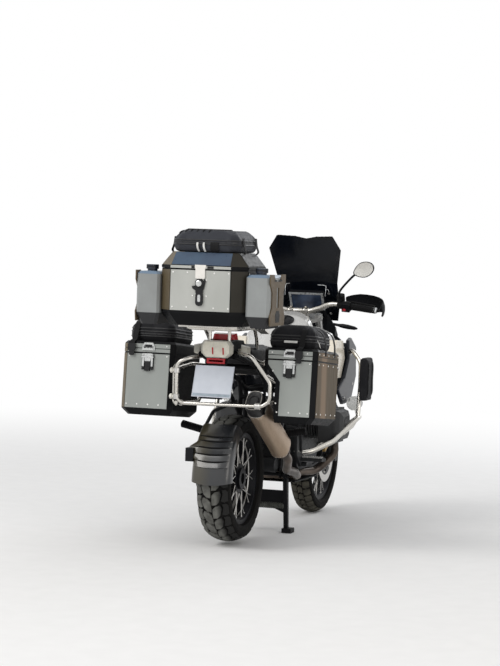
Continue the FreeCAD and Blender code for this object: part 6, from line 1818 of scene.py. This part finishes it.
# %% Guard shields
GUARD = [
    # along the grip, ahead of it, lower edge, upper edge
    (42, 82, -26, 10), (50, 87, -34, 14), (80, 98, -50, 22), (120, 106, -64, 30), (160, 109, -69, 32),
    (200, 108, -70, 32), (230, 102, -60, 30), (250, 90, -50, 29), (261, 74, -45, 29), (266, 54, -42, 29),
    (268, 30, -40, 29), (267, 8, -37, 26), (266, 4, -30, 20),
]
GUARD_WALL, GUARD_CROWN = 4.0, 7.0
guards, guard_stays = Shape(), Shape()
for side in (1, -1):
    inner, outer, along_grip = grip_line(side)
    rings = []
    for index, (along_by, fore, low, high) in enumerate(GUARD):
        before, after = GUARD[max(0, index - 1)], GUARD[min(len(GUARD) - 1, index + 1)]
        way = Vector((after[0] - before[0], after[1] - before[1])).normalized()
        arc = [(GUARD_CROWN * math.sin(math.pi * i / 8), i / 8) for i in range(9)]
        ring = [(out + GUARD_WALL, low + (high - low) * share) for out, share in arc]
        ring += [(out, low + 2 + (high - low - 4) * share) for out, share in reversed(arc)]
        ring = [inner + along_grip * (along_by - way.y * (out - GUARD_CROWN / 2))
                + FORE_STEER * (fore + way.x * (out - GUARD_CROWN / 2)) + UP_STEER * up for out, up in ring]
        rings.append(ring if side > 0 else ring[::-1])
    guards.loft(rings)
    route = [(232, 0), (252, 0), (255, 24), (254, 60), (247, 88)]
    stay = [inner + along_grip * s + FORE_STEER * fore for s, fore in route]
    guard_stays.bar(smooth_path(stay, 5), 6.5, steps=12)
guard_piece = guards.piece("hand_guard_shells", "matt_plastic", "steering", "plastic_black", smooth_below=0.9)
guard_stays.piece("hand_guard_stays", "powder_black", "steering", "plastic_black", smooth_below=0.9)
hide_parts("hand_guards")
spots = [grip_line(side)[0] + Vector((0, side * out, 0)) + UP_STEER * up
         for side in (1, -1) for out, up in ((96, -10), (196, -20))]
guard_screws = set_on(skin_tree(guard_piece), spots, -FORE_STEER, 300)
on_points("hand_guard_screws", screw_head.copy(), guard_screws, "bare_steel", "steering", "steel_bright")

# %% [markdown]
# ## Mirrors, dash and screen
# A mirror is a dark shell with a bright glass let into its face. The dash is a flat display in a silver
# frame, seen under the screen, with three thin bent wires over it. The screen keeps its solid form and gets
# its screws and a rolled top edge. A small indicator pod stands out on each side of the fairing.

# %% Mirror glass
MIRROR_AT, MIRROR_TILT = Vector((349, 392, 1385)), math.radians(22)


def leaf_ring(side, depth, share, count=44):
    """A mirror's outline: an oval that narrows towards its stalk, outer end raised. depth is to the front."""
    ring = []
    for c, s in circle(count):
        out, high = 60 * share * c, 42 * share * s * (1 - 0.34 * max(0.0, -c) ** 1.5)
        turned_out = out * math.cos(MIRROR_TILT) - high * math.sin(MIRROR_TILT)
        turned_high = out * math.sin(MIRROR_TILT) + high * math.cos(MIRROR_TILT)
        ring.append(Vector((MIRROR_AT.x + depth, side * (MIRROR_AT.y + turned_out),
                            MIRROR_AT.z + turned_high)))
    return ring if side < 0 else ring[::-1]


glass, shells = Shape(), Shape()
for side in (1, -1):
    glass.loft([leaf_ring(side, depth, share) for depth, share in ((-4.0, 0.91), (-4.6, 0.91),
                                                                   (-5.0, 0.895))])
    shells.loft([leaf_ring(side, depth, share) for depth, share in (
        (-4.2, 0.90), (-5.4, 0.935), (-5.6, 0.97), (-4, 1.0), (4, 1.0), (11, 0.93), (18, 0.74), (23, 0.42),
        (24, 0.1))])
    inner, outer, along_grip = grip_line(side)
    root = inner + along_grip * 32 - FORE_STEER * 2 + UP_STEER * 14
    stalk = [root, root + UP_STEER * 40, root + UP_STEER * 74 + Vector((2, side * 6, 0)),
             Vector((357, side * 316, 1332)), Vector((358, side * 350, 1364)),
             Vector((357, side * 368, 1376))]
    shells.bar(smooth_path(stalk, 6), 6, steps=14)
    shells.turned([(0, 0), (10, 0), (10, 6), (8, 12), (8, 22), (6.5, 26), (0, 26)],
                  frame_on(root, UP_STEER, (0, 1, 0)), steps=20)
glass.piece("mirror_glasses", "mirror_glass", "steering", "steel_bright", smooth_below=0.15)
mirror_shells = shells.piece("mirror_shells", "matt_plastic", "steering", "plastic_black", smooth_below=0.8)
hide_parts("mirrors")

# %% Dash display
DASH_AT, DASH_LEAN = (639, 0, 1204), math.radians(-34)
dash_face = Matrix.Translation(DASH_AT) @ Matrix.Rotation(DASH_LEAN, 4, "Y") @ frame_on((-12, 0, 0),
                                                                                        (-1, 0, 0))
edge = border(Shape(), 98, 56, 12, 10, (-1, 5), dash_face, bevel=2)
edge.piece("dash_frame", "frame_silver", "chassis", "plastic_black")
display = Shape().plate(round_block(-87, 87, -47, 47, 6), -0.5, 2.5, dash_face, bevel=1)
display.piece("dash_display", "display_blue", "chassis", "plastic_black")
buttons = Shape()
for x in (-60, -20, 20, 60):
    buttons.plate(round_block(x - 10, x + 10, -55, -48, 3), 4, 6.5, dash_face, bevel=0.8)
buttons.piece("dash_buttons", "satin_plastic", "chassis", "plastic_black")

# %% Screen edge and screws
screen_tree = skin_tree(CAD["windscreen"])
top_edge, top_path = Shape(), []
for y in range(-156, 157, 6):
    for z in range(1560, 1500, -1):
        hit = screen_tree.ray_cast(Vector((0.2, y * mm, z * mm)), Vector((1, 0, 0)))[0]
        if hit is not None:
            top_path.append(hit / mm + Vector((2.5, 0, 0)))
            break
top_edge.bar(smooth_path(top_path, 2), 3.0, steps=8)
top_edge.piece("screen_edge", "grip_rubber", "chassis", "smoke_screen", smooth_below=1.2)
spots = set_on(screen_tree, [(600, y, z) for y in (-110, 110) for z in (1130, 1240)], (1, 0, 0))
on_points("screen_screws", screw_head.copy(), spots, "bare_steel", "chassis", "steel_bright")

# %% Wires and indicator pods
wires = Shape()
for path in ([(636, 130, 1226), (640, 131, 1262), (646, 128, 1286), (650, 110, 1290)],
             [(640, -100, 1226), (644, -101, 1262), (650, -98, 1284), (654, -52, 1288)],
             [(644, -101, 1262), (648, -112, 1264), (652, -118, 1250)]):
    wires.bar(smooth_path(path, 4), 1.6, steps=8)
wires.piece("dash_wires", "frame_silver", "chassis", "steel_bright", smooth_below=1.2)
POD_X, POD_Z, POD_TIP, POD_ROOT = 700, 1072, 276, 12
pods = Shape()
for side in (1, -1):
    for spot, _ in set_on(skins["fairing_shell"], [(POD_X, side * 400, POD_Z)], (0, -side, 0)):
        reach = POD_TIP - abs(spot.y)
        print("indicator pod stands out", round(reach), "mm")
        pods.turned([(0, -POD_ROOT), (7, -POD_ROOT), (8, 0.2 * reach), (12, 0.36 * reach), (13, 0.6 * reach),
                     (10, 0.88 * reach), (4, reach), (0, reach)], frame_on(spot, (0, side, -0.14)), steps=20)
pods.piece("front_indicator_pods", "satin_plastic", "chassis", "plastic_black")
